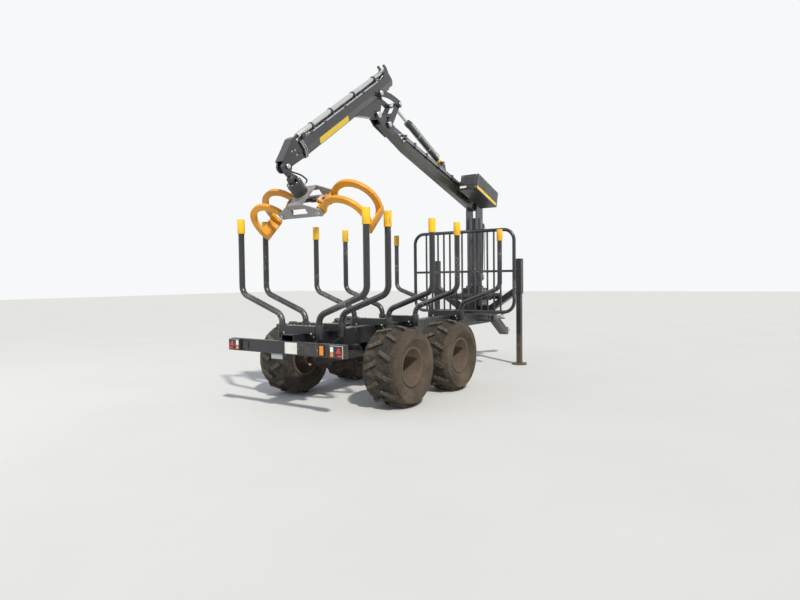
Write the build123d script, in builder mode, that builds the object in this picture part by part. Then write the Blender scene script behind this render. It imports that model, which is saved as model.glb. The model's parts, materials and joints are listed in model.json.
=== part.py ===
"""Forestry trailer with a loading crane: bogie frame, five bunks with bent stakes,
headboard, telescopic legs, steered drawbar, and a folding crane with a grapple.

Millimetres. +X is forward, +Y is the left side, +Z is up, and the floor is at Z = 0.
Places along the trailer are given as distances ahead of the rear pair of stakes.
"""
from build123d import *
from math import asin, atan2, cos, degrees, hypot, pi, radians, sin, tan
import os

os.makedirs("parts", exist_ok=True)

# Common clearances
seat_gap = 0.3          # a piece that rests near a curved seat
run_gap = 0.05          # a pin in its bush, on the radius
side_gap = 6.0          # a moving plate beside another plate
slide_gap = 2.0         # a box section that slides inside another

# Frame
beam_w = 200.0
beam_low = 720.0
beam_top = 940.0
beam_wall = 10.0
beam_front_ahead = 5130.0

# Wheels and bogie
tyre_r = 500.0
tyre_w = 500.0
bead_r = 225.0
bead_in = 55.0
lug_pairs = 12
lug_h = 38.0
lug_w = 52.0
lug_len = 235.0
lug_lean = 26.0
lug_mid_gap = 8.0
wheel_y = 878.0
wheelbase = 1260.0
bogie_ahead = 1450.0
pivot_tube_r = 70.0
pivot_h = 620.0
spindle_r = 45.0
bogie_y = 500.0
bogie_w = 120.0
hub_r = 85.0
rim_wall = 12.0

# Bunks and stakes, one place for each pair
bunk_ahead = (0.0, 420.0, 1440.0, 2140.0, 3620.0)
stake_r = 38.0
stake_y = 1008.0
stake_foot_y = 300.0
stake_foot_h = 888.0
stake_knee_h = 1154.0
stake_elbow_h = 1416.0
stake_top_h = 2340.0
stake_bend_r = 140.0
cap_r = 47.0
cap_over = 30.0
cap_top_h = stake_top_h + cap_over
cap_len = 185.0
bunk_len = 110.0
bunk_h = 90.0
socket_r = 52.0
socket_top_h = 1045.0
socket_floor_h = 876.0

# Rear light board
board_back_ahead = -284.0
board_depth = 60.0
board_half = 912.0
board_low = 715.0
board_h = 152.0
lamp_w = 190.0
lamp_h = 140.0
lamp_depth = 38.0

# Headboard
head_ahead = 4250.0
head_half = 1000.0
head_low = 985.0
head_top = 2420.0
head_tube_r = 30.0
head_corner_r = 190.0
head_bar = 25.0
head_bar_pitch = 125.0
head_rail_h = 1700.0

# Drawbar and towing eye
hinge_ahead = 5250.0
hinge_pin_r = 35.0
eye_ahead = 6300.0
eye_h = 480.0
eye_bore_r = 25.0
eye_out_r = 62.0
eye_t = 36.0
drawbar_w = 150.0
steer_foot_back = 400.0
steer_foot_y = 330.0
steer_ear_ahead = 250.0
steer_ear_y = 250.0
steer_pin_r = 16.0
steer_barrel_len = 420.0
steer_rod_inside = 245.0

# The origin is half way along the whole trailer, this far ahead of the rear stakes
origin_ahead = (eye_ahead + eye_out_r + board_back_ahead - lamp_depth) / 2

# Legs
leg_off = 70.0          # the legs' cross arm ahead of the column
leg_y = 860.0
leg_w = 85.0
leg_house_w = 115.0
leg_house_low = 1290.0
leg_house_top = 1930.0
leg_len = 1480.0
leg_arm_w = 150.0
leg_arm_h = 130.0
leg_pad_r = 130.0
leg_pad_h = 30.0
leg_travel = 420.0

# Crane foot, column and head
column_ahead = 4760.0
leg_ahead = column_ahead + leg_off
base_top = 1400.0
base_len = 420.0
base_w = 380.0
slew_tube_r = 62.0
slew_tube_half = 430.0
column_r = 136.5
column_top = 2700.0
cheek_in = 81.0
cheek_t = 34.0
boom_pivot_h = 2970.0
boom_pin_r = 40.0

# Boom, along the line from its pivot to the elbow pin
boom_len = 3300.0
boom_angle = 16.4
boom_w = 150.0
boom_under = 165.0
boom_root_over = 122.0
boom_tip_over = 35.0
rocker_back = 250.0
rocker_pin_s = boom_len - rocker_back
rocker_pin_t = -15.0
elbow_pin_r = 32.0
horn_len = 360.0
horn_angle = 141.0

# Lift cylinder in front of the column
lift_foot_out = -245.0
lift_foot_h = 1600.0
lift_barrel_r = 55.0
lift_rod_r = 32.0

# Elbow linkage and stick cylinder, in the boom's line
cyl_foot_s = 1380.0
cyl_foot_t = 167.0
cyl_barrel_r = 47.0
cyl_rod_r = 28.0
cyl_barrel_len = 1140.0
knee_back = 375.0
knee_s = boom_len - knee_back
knee_t = 375.0
link_in = 104.0
link_t = 16.0
rocker_in = 81.0
rocker_t = 17.0

# Stick, with its own line along the tube
stick_angle = -35.4
stick_axis_t = 276.0
stick_rear = -613.0
stick_front = 1720.0
stick_h = 190.0
stick_w = 150.0
stick_wall = 8.0
link_pin_a = -156.0
link_pin_t = 245.0
tip_a = 2068.0
tip_t = 231.0
ext_travel = 1500.0
ext_rear = -95.0
ext_cyl_r = 36.0
ext_rod_r = 20.0
ext_cyl_t = 430.0
bracket_t = 522.0
notch_half = 50.0
notch_h = 40.0
notch_len = 110.0

# Tip link, rotator and grapple
hang_angle = 45.0
link_drop = 165.0
rotator_drop = 215.0
rotator_r = 95.0
rotator_h = 170.0
hub_drop = 560.0
hub_span = 300.0
claw_half = 170.0


def at(distance):
    """X of a place that far ahead of the rear stakes."""
    return distance - origin_ahead


def line_plane(origin, angle):
    """A plane in the crane's mid plane whose x runs outward, up by angle, and z to the left."""
    a = radians(angle)
    return Plane(origin=origin, x_dir=(-cos(a), 0, sin(a)), z_dir=(0, 1, 0))


def point(plane, x, y, z=0.0):
    """World place of local coordinates."""
    return plane.from_local_coords(Vector(x, y, z))


def save(builder, label):
    """Label a finished piece and write it."""
    builder.part.label = label
    export_step(builder.part, f"parts/{label}.step")


across = (0, 1, 0)
column_x = at(column_ahead)
crane = line_plane((column_x, 0, boom_pivot_h), 0)
boom_line = line_plane((column_x, 0, boom_pivot_h), boom_angle)
elbow = point(boom_line, boom_len, 0)
stick_line = line_plane(elbow, stick_angle)
tip = point(stick_line, tip_a, tip_t)
hang = Plane(
    origin=tip,
    x_dir=(sin(radians(hang_angle)), 0, -cos(radians(hang_angle))),
    z_dir=(0, 1, 0),
)


# Main beam, with the fork that holds the drawbar
hinge_x = at(hinge_ahead)
fork_t = 40.0
beam_mid = (beam_low + beam_top) / 2
beam_back = at(board_back_ahead) + board_depth
beam_front = at(beam_front_ahead)
ear_t = 16.0
ear_gap = 76.0
ear_r = 42.0

with BuildPart() as main_beam:
    with BuildSketch(Plane.YZ.offset(beam_back)):
        with Locations((0, beam_mid)):
            Rectangle(beam_w, beam_top - beam_low)
            Rectangle(beam_w - 2 * beam_wall, beam_top - beam_low - 2 * beam_wall, mode=Mode.SUBTRACT)
    extrude(amount=beam_front - beam_back)
    for low in (beam_low, beam_top - fork_t):
        with BuildSketch(Plane.XY.offset(low)):
            with Locations((hinge_x - 110, 0)):
                Rectangle(220, beam_w - 2 * beam_wall)
            with Locations((hinge_x, 0)):
                Circle((beam_w - 2 * beam_wall) / 2)
        extrude(amount=fork_t)
    with BuildSketch(Plane.XY.offset(beam_low)):
        with Locations((hinge_x, 0)):
            Circle(hinge_pin_r)
    extrude(amount=beam_top - beam_low + 12)
    for z0 in (beam_mid - ear_gap / 2 - ear_t, beam_mid + ear_gap / 2):
        with BuildSketch(Plane.XY.offset(z0)):
            with BuildLine():
                Polyline(
                    (hinge_x - steer_foot_back - 160, 99), (hinge_x - steer_foot_back + 120, 99),
                    (hinge_x - steer_foot_back + ear_r, steer_foot_y), (hinge_x - steer_foot_back - ear_r, steer_foot_y),
                    close=True,
                )
            make_face()
            with Locations((hinge_x - steer_foot_back, steer_foot_y)):
                Circle(ear_r)
            mirror(about=Plane.XZ)
        extrude(amount=ear_t)
    with BuildSketch(Plane.XY.offset(beam_mid - ear_gap / 2 - ear_t - 6)):
        with Locations(
            (hinge_x - steer_foot_back, steer_foot_y), (hinge_x - steer_foot_back, -steer_foot_y)
        ):
            Circle(steer_pin_r)
    extrude(amount=ear_gap + 2 * ear_t + 12)
save(main_beam, "main_beam")


# Bunks: a cross box on the beam with a socket at each end
with BuildPart() as bunks:
    for place in bunk_ahead:
        with BuildSketch(Plane.YZ.offset(at(place) - bunk_len / 2)):
            with Locations((0, beam_top + bunk_h / 2)):
                Rectangle(2 * (stake_foot_y - 20), bunk_h)
        extrude(amount=bunk_len)
        with BuildSketch(Plane.YZ.offset(at(place) - 9)):
            with BuildLine():
                Polyline(
                    (beam_w / 2, beam_top), (stake_foot_y, beam_top), (stake_foot_y, socket_floor_h),
                    (beam_w / 2, beam_low + 40), close=True,
                )
            make_face()
            mirror(about=Plane.YZ)
        extrude(amount=18)
        with BuildSketch(Plane.XY.offset(socket_floor_h)):
            with Locations((at(place), stake_foot_y), (at(place), -stake_foot_y)):
                Circle(socket_r)
        extrude(amount=socket_top_h - socket_floor_h)
    for place in bunk_ahead:
        with BuildSketch(Plane.XY.offset(stake_foot_h - seat_gap)):
            with Locations((at(place), stake_foot_y), (at(place), -stake_foot_y)):
                Circle(stake_r + seat_gap)
        extrude(amount=socket_top_h - stake_foot_h + 5, mode=Mode.SUBTRACT)
save(bunks, "bunks")


def stake(place, side):
    """One bent stake: a foot in its socket, a slanted run and a tall upright."""
    y0 = side * stake_foot_y
    y1 = side * stake_y
    with BuildPart() as one:
        with BuildLine(Plane.YZ.offset(at(place))):
            FilletPolyline(
                (y0, stake_foot_h), (y0, stake_knee_h), (y1, stake_elbow_h), (y1, stake_top_h),
                radius=stake_bend_r,
            )
        with BuildSketch(Plane.XY.offset(stake_foot_h)):
            with Locations((at(place), y0)):
                Circle(stake_r)
        sweep()
    return one.part


with BuildPart() as stakes:
    for place in bunk_ahead:
        add(stake(place, 1))
        add(stake(place, -1))
save(stakes, "stakes")

# Yellow caps over the stakes' ends
with BuildPart() as caps:
    for place in bunk_ahead:
        spots = Locations((at(place), stake_y), (at(place), -stake_y))
        with BuildSketch(Plane.XY.offset(cap_top_h - cap_len)):
            with spots:
                Circle(cap_r)
        extrude(amount=cap_len)
        with BuildSketch(Plane.XY.offset(cap_top_h - cap_len)):
            with spots:
                Circle(stake_r + seat_gap)
        extrude(amount=stake_top_h + seat_gap - cap_top_h + cap_len, mode=Mode.SUBTRACT)
save(caps, "stake_caps")

# Rear board with its lamps
board_back = at(board_back_ahead)
with BuildPart() as light_board:
    with BuildSketch(Plane.YZ.offset(board_back)):
        with Locations((0, board_low + board_h / 2)):
            Rectangle(2 * board_half, board_h)
    extrude(amount=board_depth)
save(light_board, "light_board")

with BuildPart() as rear_lamps:
    with BuildSketch(Plane.YZ.offset(board_back - lamp_depth)):
        with Locations(
            (board_half - lamp_w / 2, board_low + board_h / 2), (-board_half + lamp_w / 2, board_low + board_h / 2)
        ):
            RectangleRounded(lamp_w, lamp_h, 12)
    extrude(amount=lamp_depth)
save(rear_lamps, "rear_lamps")

# Headboard: a bent tube frame with upright bars, on a post
with BuildPart() as headboard:
    head_x = at(head_ahead)
    run_half = head_half - head_corner_r
    run_low = head_low + head_corner_r
    run_top = head_top - head_corner_r
    with BuildSketch(Plane.XY.offset(run_low)):
        with Locations((head_x, head_half), (head_x, -head_half)):
            Circle(head_tube_r)
    extrude(amount=run_top - run_low)
    with BuildSketch(Plane.XZ.offset(-run_half)):
        with Locations((head_x, head_low), (head_x, head_top)):
            Circle(head_tube_r)
    extrude(amount=2 * run_half)
    for side, rise in ((1, 1), (-1, 1), (1, -1), (-1, -1)):
        turn = Axis((head_x, side * run_half, run_top if rise > 0 else run_low), (side * rise, 0, 0))
        with BuildSketch(Plane.XY.offset(turn.position.Z)):
            with Locations((head_x, side * head_half)):
                Circle(head_tube_r)
        revolve(axis=turn, revolution_arc=90)
    bar_count = int((head_half - head_corner_r) / head_bar_pitch)
    for row in range(-bar_count, bar_count + 1):
        with BuildSketch(Plane.XY.offset(head_low)):
            with Locations((at(head_ahead), row * head_bar_pitch)):
                Rectangle(head_bar, head_bar)
        extrude(amount=head_top - head_low)
    with BuildSketch(Plane.XZ.offset(-head_half)):
        with Locations((at(head_ahead), head_rail_h)):
            Rectangle(40, 40)
    extrude(amount=2 * head_half)
    with BuildSketch(Plane.XY.offset(beam_top)):
        with Locations((at(head_ahead), 0)):
            Rectangle(80, beam_w)
    extrude(amount=head_low - beam_top)
save(headboard, "headboard")

# Bogie: a cross tube hung under the beam, and the two beams with the wheels' spindles
with BuildPart() as bogie:
    bogie_x = at(bogie_ahead)
    with BuildSketch(Plane.XZ.offset(-bogie_y + bogie_w / 2)):
        with Locations((bogie_x, pivot_h)):
            Circle(pivot_tube_r)
    extrude(amount=2 * bogie_y - bogie_w)
    with BuildSketch(Plane.XZ.offset(-bogie_y - bogie_w / 2 - 20)):
        with Locations((bogie_x, pivot_h)):
            Circle(pivot_tube_r - 15)
    extrude(amount=2 * bogie_y + bogie_w + 40)
    for side in (1, -1):
        with BuildSketch(Plane.XZ.offset(-side * (beam_w / 2 - 15) - 15)):
            with BuildLine():
                Polyline(
                    (bogie_x - 220, beam_low), (bogie_x - 95, pivot_h - 70), (bogie_x + 95, pivot_h - 70),
                    (bogie_x + 220, beam_low), close=True,
                )
            make_face()
        extrude(amount=30)
    for side in (1, -1):
        with BuildSketch(Plane.XZ.offset(-side * bogie_y - bogie_w / 2)):
            with Locations((bogie_x - wheelbase / 2, tyre_r), (bogie_x + wheelbase / 2, tyre_r)):
                Circle(80)
            with Locations((bogie_x, pivot_h)):
                Circle(115)
            make_hull()
        extrude(amount=bogie_w)
        reach = wheel_y - 50 - bogie_y
        with BuildSketch(Plane.XZ.offset(-side * bogie_y if side < 0 else -bogie_y - reach)):
            with Locations((bogie_x - wheelbase / 2, tyre_r), (bogie_x + wheelbase / 2, tyre_r)):
                Circle(spindle_r)
        extrude(amount=reach)
save(bogie, "bogie")


# Half outline of the tyre without its lugs, radius against distance from its middle
tyre_base_r = tyre_r - lug_h
tyre_half = (
    (bead_r, tyre_w / 2 - bead_in), (bead_r + 28, tyre_w / 2 - bead_in), (345, tyre_w / 2),
    (440, tyre_w / 2 - 12), (tyre_base_r, tyre_w / 2 - 75),
)
facet_turn = 180 / (2 * lug_pairs)

# One flat facet of the casing, half as wide as the pitch of the lugs
with BuildPart() as facet:
    with BuildSketch(Plane.XZ):
        with BuildLine():
            Polyline(list(tyre_half) + [(r, -v) for r, v in reversed(tyre_half)], close=True)
        make_face()
    extrude(amount=tyre_r * tan(radians(facet_turn)), both=True)
    with BuildSketch(Plane.XY.offset(-tyre_w / 2)):
        with BuildLine():
            far_y = 2 * tyre_r * tan(radians(facet_turn))
            Polyline((0, 0), (2 * tyre_r, -far_y), (2 * tyre_r, far_y), close=True)
        make_face()
    extrude(amount=tyre_w, mode=Mode.INTERSECT)

# One slanted lug, from the middle of the tread to its shoulder, corners at the tyre's radius
lug_reach = lug_len / 2 * sin(radians(lug_lean)) + lug_w / 2 * cos(radians(lug_lean))
lug_top = (tyre_r**2 - lug_reach**2) ** 0.5
lug_turn = degrees(asin(lug_reach / tyre_r))
lug_way = Vector(0, sin(radians(lug_lean)), cos(radians(lug_lean)))
lug_plane = Plane(
    origin=(0, 0, lug_mid_gap + lug_len / 2 * cos(radians(lug_lean))),
    x_dir=lug_way, z_dir=lug_way.cross(Vector(1, 0, 0)),
)
with BuildPart() as lug:
    with BuildSketch(lug_plane.offset(-lug_w / 2)):
        with BuildLine():
            Polyline(
                (-lug_len / 2, tyre_base_r - 30), (-lug_len / 2, lug_top), (lug_len / 2 - 50, lug_top),
                (lug_len / 2, lug_top - 60), (lug_len / 2 - 10, tyre_base_r - 60), close=True,
            )
        make_face()
    extrude(amount=lug_w)

# The whole tyre with its axis upright, one lug's corner straight along its own x
with BuildPart() as casing:
    with PolarLocations(0, 2 * lug_pairs):
        add(facet.part)
    with PolarLocations(0, lug_pairs, start_angle=lug_turn):
        add(lug.part)
    with PolarLocations(0, lug_pairs, start_angle=lug_turn + 180 / lug_pairs):
        add(lug.part.mirror(Plane.XY))


def wheel(x, side, label):
    """Tyre and rim of one wheel, its dish open to the outside."""
    centre = (x, side * wheel_y, tyre_r)
    section = Plane(origin=centre, x_dir=(0, 0, 1), z_dir=(-side, 0, 0))
    spin = Axis(centre, (0, 1, 0))
    with BuildPart() as tyre:
        with Locations(Plane(origin=centre, x_dir=(0, 0, -1), z_dir=(0, side, 0))):
            add(casing.part)
    save(tyre, f"tyre_{label}")
    out = bead_r - 0.2
    seat = tyre_half[0][1]
    with BuildPart() as rim:
        with BuildSketch(section):
            with BuildLine():
                Polyline(
                    (out, seat + 0.3), (out + 24, seat + 0.3), (out + 24, seat + 10), (out - rim_wall, seat + 4),
                    (out - rim_wall, -70), (hub_r, -50), (hub_r, -20), (0, -20), (0, -40),
                    (spindle_r + run_gap, -40), (spindle_r + run_gap, -240), (hub_r, -240), (hub_r, -70),
                    (out - rim_wall, -90), (out - rim_wall, -seat - 4), (out + 24, -seat - 10),
                    (out + 24, -seat - 0.3), (out, -seat - 0.3), close=True,
                )
            make_face()
        revolve(axis=spin)
    save(rim, f"rim_{label}")


wheel_names = ("rear", "front")
side_names = {1: "left", -1: "right"}
for step, name in zip((-0.5, 0.5), wheel_names):
    for side, side_name in side_names.items():
        wheel(bogie_x + step * wheelbase, side, f"{name}_{side_name}")

# Leg arms: one box beam over the main beam, rising to a sleeve at each end
with BuildPart() as leg_beam:
    with BuildSketch(Plane.YZ.offset(at(leg_ahead) - leg_arm_w / 2)):
        with BuildLine():
            Polyline(
                (0, beam_top), (300, beam_top), (leg_y - 50, leg_house_low), (leg_y - 50, leg_house_low + leg_arm_h),
                (290, beam_top + leg_arm_h), (0, beam_top + leg_arm_h), close=True,
            )
        make_face()
        mirror(about=Plane.YZ)
    extrude(amount=leg_arm_w)
    with BuildSketch(Plane.XY.offset(leg_house_low)):
        with Locations((at(leg_ahead), leg_y), (at(leg_ahead), -leg_y)):
            Rectangle(leg_house_w, leg_house_w)
    extrude(amount=leg_house_top - leg_house_low)
    with BuildSketch(Plane.XY.offset(leg_house_low)):
        with Locations((at(leg_ahead), leg_y), (at(leg_ahead), -leg_y)):
            Rectangle(leg_w + 2 * seat_gap, leg_w + 2 * seat_gap)
    extrude(amount=leg_house_top - leg_house_low - 12, mode=Mode.SUBTRACT)
save(leg_beam, "leg_beam")

for side, side_name in side_names.items():
    with BuildPart() as leg:
        with BuildSketch():
            with Locations((at(leg_ahead), side * leg_y)):
                Circle(leg_pad_r)
        extrude(amount=leg_pad_h)
        with BuildSketch(Plane.XY.offset(leg_pad_h)):
            with Locations((at(leg_ahead), side * leg_y)):
                Rectangle(leg_w, leg_w)
        extrude(amount=leg_len - leg_pad_h)
    save(leg, f"leg_{side_name}")

# Crane foot: a housing with two cross tubes for the slewing racks
base_low = beam_top + leg_arm_h
with BuildPart() as crane_base:
    with BuildSketch(Plane.XY.offset(base_low)):
        with Locations((column_x, 0)):
            RectangleRounded(base_len, base_w, 40)
    extrude(amount=base_top - base_low)
    with BuildSketch(Plane.XZ.offset(-slew_tube_half)):
        with Locations(
            (column_x - base_len / 2 - 20, base_low + 170), (column_x + base_len / 2 + 20, base_low + 170)
        ):
            Circle(slew_tube_r)
    extrude(amount=2 * slew_tube_half)
    with BuildSketch(Plane.XY.offset(beam_top)):
        with Locations((at(leg_ahead) - leg_arm_w / 2 - 60, 0)):
            Rectangle(118, beam_w)
    extrude(amount=base_low - beam_top + 10)
save(crane_base, "crane_base")

# Column with the cheeks that hold the boom and the ears of the lift cylinder
lift_foot = point(crane, lift_foot_out, lift_foot_h - boom_pivot_h)
lift_pin_r = 25.0
lift_eye_half = 40.0
with BuildPart() as column:
    with BuildSketch(Plane.XY.offset(base_top + seat_gap)):
        with Locations((column_x, 0)):
            Circle(column_r + 30)
    extrude(amount=40)
    with BuildSketch(Plane.XY.offset(base_top + seat_gap)):
        with Locations((column_x, 0)):
            Circle(column_r)
    extrude(amount=column_top - base_top)
    for side in (1, -1):
        y0 = -side * (cheek_in + cheek_t / 2)
        with BuildSketch(Plane.XZ.offset(y0 - cheek_t / 2)):
            with BuildLine():
                Polyline(
                    (column_x - 125, column_top - 230), (column_x + 125, column_top - 230),
                    (column_x + 115, boom_pivot_h), (column_x - 115, boom_pivot_h), close=True,
                )
            make_face()
            with Locations((column_x, boom_pivot_h)):
                Circle(115)
        extrude(amount=cheek_t)
        y1 = -side * (lift_eye_half + side_gap / 2 + 10)
        with BuildSketch(Plane.XZ.offset(y1 - 10)):
            with BuildLine():
                Polyline(
                    (column_x + 100, lift_foot_h - 110), (lift_foot.X, lift_foot_h - 52),
                    (lift_foot.X, lift_foot_h + 52), (column_x + 100, lift_foot_h + 70), close=True,
                )
            make_face()
            with Locations((lift_foot.X, lift_foot_h)):
                Circle(52)
        extrude(amount=20)
    with BuildSketch(Plane.XZ.offset(-cheek_in - cheek_t - 14)):
        with Locations((column_x, boom_pivot_h)):
            Circle(boom_pin_r)
    extrude(amount=2 * (cheek_in + cheek_t + 14))
    with BuildSketch(Plane.XZ.offset(-lift_eye_half - side_gap / 2 - 26)):
        with Locations((lift_foot.X, lift_foot_h)):
            Circle(lift_pin_r)
    extrude(amount=2 * (lift_eye_half + side_gap / 2 + 26))
save(column, "column")

# Boom: a tapered box with a fork at the elbow, a horn behind the pivot and ears on top
horn = (horn_len * cos(radians(horn_angle)), horn_len * sin(radians(horn_angle)))
fork_in = 54.0
box_end = boom_len - 95.0


def top_over(s):
    """Height of the boom's top edge above its line at distance s."""
    return boom_root_over + (boom_tip_over - boom_root_over) * s / boom_len


# Six-sided sections of the boom: distance, height of its widest line, depth of its underside
boom_rows = ((0, -20, boom_under - 25), (260, -22, boom_under), (2500, -45, boom_under), (box_end, -40, 89))
boom_face = boom_w / 2 + 1
cover_in = 175.0
cover_out = 500.0
cover_back = 70.0
cover_front = 930.0
cover_under = 130.0
cover_over = 150.0
cover_feet = ((cover_back + 300, 0), (cover_front - 120, 0))
cover_foot = (60.0, 140.0)

with BuildPart() as boom:
    for s, fold, under in boom_rows:
        with BuildSketch(Plane(origin=point(boom_line, s, 0), x_dir=(0, 1, 0), z_dir=-boom_line.x_dir)):
            Polygon(
                (-boom_w / 2 + 18, top_over(s)), (boom_w / 2 - 18, top_over(s)), (boom_w / 2, fold),
                (boom_w / 2 - 26, -under), (-boom_w / 2 + 26, -under), (-boom_w / 2, fold), align=None,
            )
    loft(ruled=True)
    with BuildSketch(boom_line.offset(-boom_w / 2 + 9)):
        Circle(top_over(0) - 4)
    extrude(amount=boom_w - 18)
    with BuildSketch(boom_line.offset(-boom_face)):
        Circle(boom_pin_r + 35)
        with Locations(*cover_feet):
            Rectangle(*cover_foot)
    extrude(amount=20)
    with BuildSketch(boom_line.offset(boom_face - 20)):
        Circle(boom_pin_r + 35)
    extrude(amount=20)
    for y0 in (-boom_face, fork_in):
        with BuildSketch(boom_line.offset(y0)):
            with BuildLine():
                Polyline(
                    (box_end - 300, -122), (box_end, -105), (boom_len, -62), (boom_len - 20, 45),
                    (box_end - 300, top_over(box_end)), close=True,
                )
            make_face()
            with Locations((boom_len, 0)):
                Circle(62)
        extrude(amount=boom_face - fork_in)
    for y0 in (-boom_w / 2 + 5, lift_eye_half + side_gap / 2):
        with BuildSketch(boom_line.offset(y0)):
            with BuildLine():
                Polyline((-60, -60), (horn[0] - 38, horn[1] - 30), (horn[0] + 30, horn[1] + 38), (90, 80), close=True)
            make_face()
            with Locations(horn):
                Circle(48)
        extrude(amount=boom_w / 2 - 5 - lift_eye_half - side_gap / 2)
    for y0 in (-cyl_barrel_r - side_gap / 2 - 18, cyl_barrel_r + side_gap / 2):
        with BuildSketch(boom_line.offset(y0)):
            with BuildLine():
                Polyline(
                    (cyl_foot_s - 120, top_over(cyl_foot_s) - 40), (cyl_foot_s + 90, top_over(cyl_foot_s) - 40),
                    (cyl_foot_s + 40, cyl_foot_t), (cyl_foot_s - 40, cyl_foot_t), close=True,
                )
            make_face()
            with Locations((cyl_foot_s, cyl_foot_t)):
                Circle(40)
        extrude(amount=18)
    with BuildSketch(boom_line.offset(-cyl_barrel_r - side_gap / 2 - 24)):
        with Locations((cyl_foot_s, cyl_foot_t)):
            Circle(20)
    extrude(amount=2 * (cyl_barrel_r + side_gap / 2 + 24))
    with BuildSketch(boom_line.offset(-rocker_in - rocker_t - 4)):
        with Locations((rocker_pin_s, rocker_pin_t)):
            Circle(elbow_pin_r)
    extrude(amount=2 * (rocker_in + rocker_t + 4))
    with BuildSketch(boom_line.offset(-boom_w / 2 - 5)):
        with Locations((boom_len, 0)):
            Circle(elbow_pin_r)
    extrude(amount=boom_w + 10)
    with BuildSketch(boom_line.offset(-boom_w / 2 - 5)):
        Circle(boom_pin_r + run_gap)
    extrude(amount=boom_w + 10, mode=Mode.SUBTRACT)
save(boom, "boom")

# Valve cover on the boom's near side, on two brackets
with BuildPart() as valve_cover:
    with BuildSketch(boom_line.offset(-cover_out)):
        with BuildLine():
            Polyline(
                (cover_back, -cover_under), (cover_front, -cover_under), (cover_front, cover_over),
                (cover_back, cover_over), close=True,
            )
        make_face()
    extrude(amount=cover_out - cover_in)
    fillet(valve_cover.edges().filter_by(Axis.Y), 14)
    with BuildSketch(boom_line.offset(-cover_in)):
        with Locations(*cover_feet):
            Rectangle(*cover_foot)
    extrude(amount=cover_in - boom_face)
save(valve_cover, "valve_cover")


def barrel(foot, head, pin_way, length, radius, rod_radius, eye_half, pin_radius, neck, label):
    """Cylinder barrel from its foot eye towards its head, bored for the rod."""
    plane = Plane(origin=foot, x_dir=pin_way, z_dir=Vector(head) - Vector(foot))
    eye = Plane(origin=foot, x_dir=plane.z_dir, z_dir=pin_way)
    with BuildPart() as body:
        with BuildSketch(plane.offset(pin_radius + 5)):
            Circle(eye_half - 8)
        extrude(amount=neck - pin_radius)
        with BuildSketch(plane.offset(neck)):
            Circle(radius)
        extrude(amount=length - neck)
        with BuildSketch(plane.offset(length - 60)):
            Circle(radius + 7)
        extrude(amount=60)
        with BuildSketch(eye.offset(-eye_half)):
            Circle(pin_radius + 20)
        extrude(amount=2 * eye_half)
        with BuildSketch(plane.offset(neck + 15)):
            Circle(rod_radius + run_gap)
        extrude(amount=length, mode=Mode.SUBTRACT)
        with BuildSketch(eye.offset(-eye_half - 5)):
            Circle(pin_radius + run_gap)
        extrude(amount=2 * eye_half + 10, mode=Mode.SUBTRACT)
    save(body, label)


def rod(foot, head, pin_way, inside, radius, eye_half, eye_radius, label):
    """Cylinder rod that ends in an eye, its other end inside the barrel."""
    plane = Plane(origin=foot, x_dir=pin_way, z_dir=Vector(head) - Vector(foot))
    total = (Vector(head) - Vector(foot)).length
    eye = Plane(origin=head, x_dir=plane.z_dir, z_dir=pin_way)
    with BuildPart() as body:
        with BuildSketch(plane.offset(inside)):
            Circle(radius)
        extrude(amount=total - inside)
        with BuildSketch(eye.offset(-eye_half)):
            Circle(eye_radius)
        extrude(amount=2 * eye_half)
    save(body, label)


# Lift cylinder
lift_head = point(boom_line, *horn)
lift_barrel_len = 1030.0
lift_rod_inside = 435.0
barrel(
    lift_foot, lift_head, across, lift_barrel_len, lift_barrel_r, lift_rod_r, lift_eye_half, lift_pin_r, 62,
    "lift_barrel",
)
rod(lift_foot, lift_head, across, lift_rod_inside, lift_rod_r, lift_eye_half, 45, "lift_rod")

# Stick cylinder
cyl_foot = point(boom_line, cyl_foot_s, cyl_foot_t)
knee = point(boom_line, knee_s, knee_t)
barrel(cyl_foot, knee, across, cyl_barrel_len, cyl_barrel_r, cyl_rod_r, 44, 20, 50, "stick_barrel")
rod(cyl_foot, knee, across, 245, cyl_rod_r, 38, 45, "stick_rod")

# Rocker: two plates on the boom with a web between them and stubs at the knee
knee_pin_r = 25.0
rocker_len = hypot(knee_s - rocker_pin_s, knee_t - rocker_pin_t)
rocker_angle = degrees(atan2(knee_t - rocker_pin_t, knee_s - rocker_pin_s))
rocker_line = line_plane(point(boom_line, rocker_pin_s, rocker_pin_t), boom_angle + rocker_angle)
with BuildPart() as rocker:
    for side in (1, -1):
        with BuildSketch(rocker_line.offset(rocker_in if side > 0 else -rocker_in - rocker_t)):
            Circle(56)
            with Locations((rocker_len, 0)):
                Circle(40)
            make_hull()
            Circle(elbow_pin_r + run_gap, mode=Mode.SUBTRACT)
        extrude(amount=rocker_t)
        with BuildSketch(rocker_line.offset(44 if side > 0 else -rocker_in)):
            with Locations((rocker_len, 0)):
                Circle(knee_pin_r)
        extrude(amount=rocker_in - 44)
    with BuildSketch(rocker_line.offset(-rocker_in)):
        with Locations((165, 0)):
            Rectangle(70, 60)
    extrude(amount=2 * rocker_in)
save(rocker, "rocker")

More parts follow.
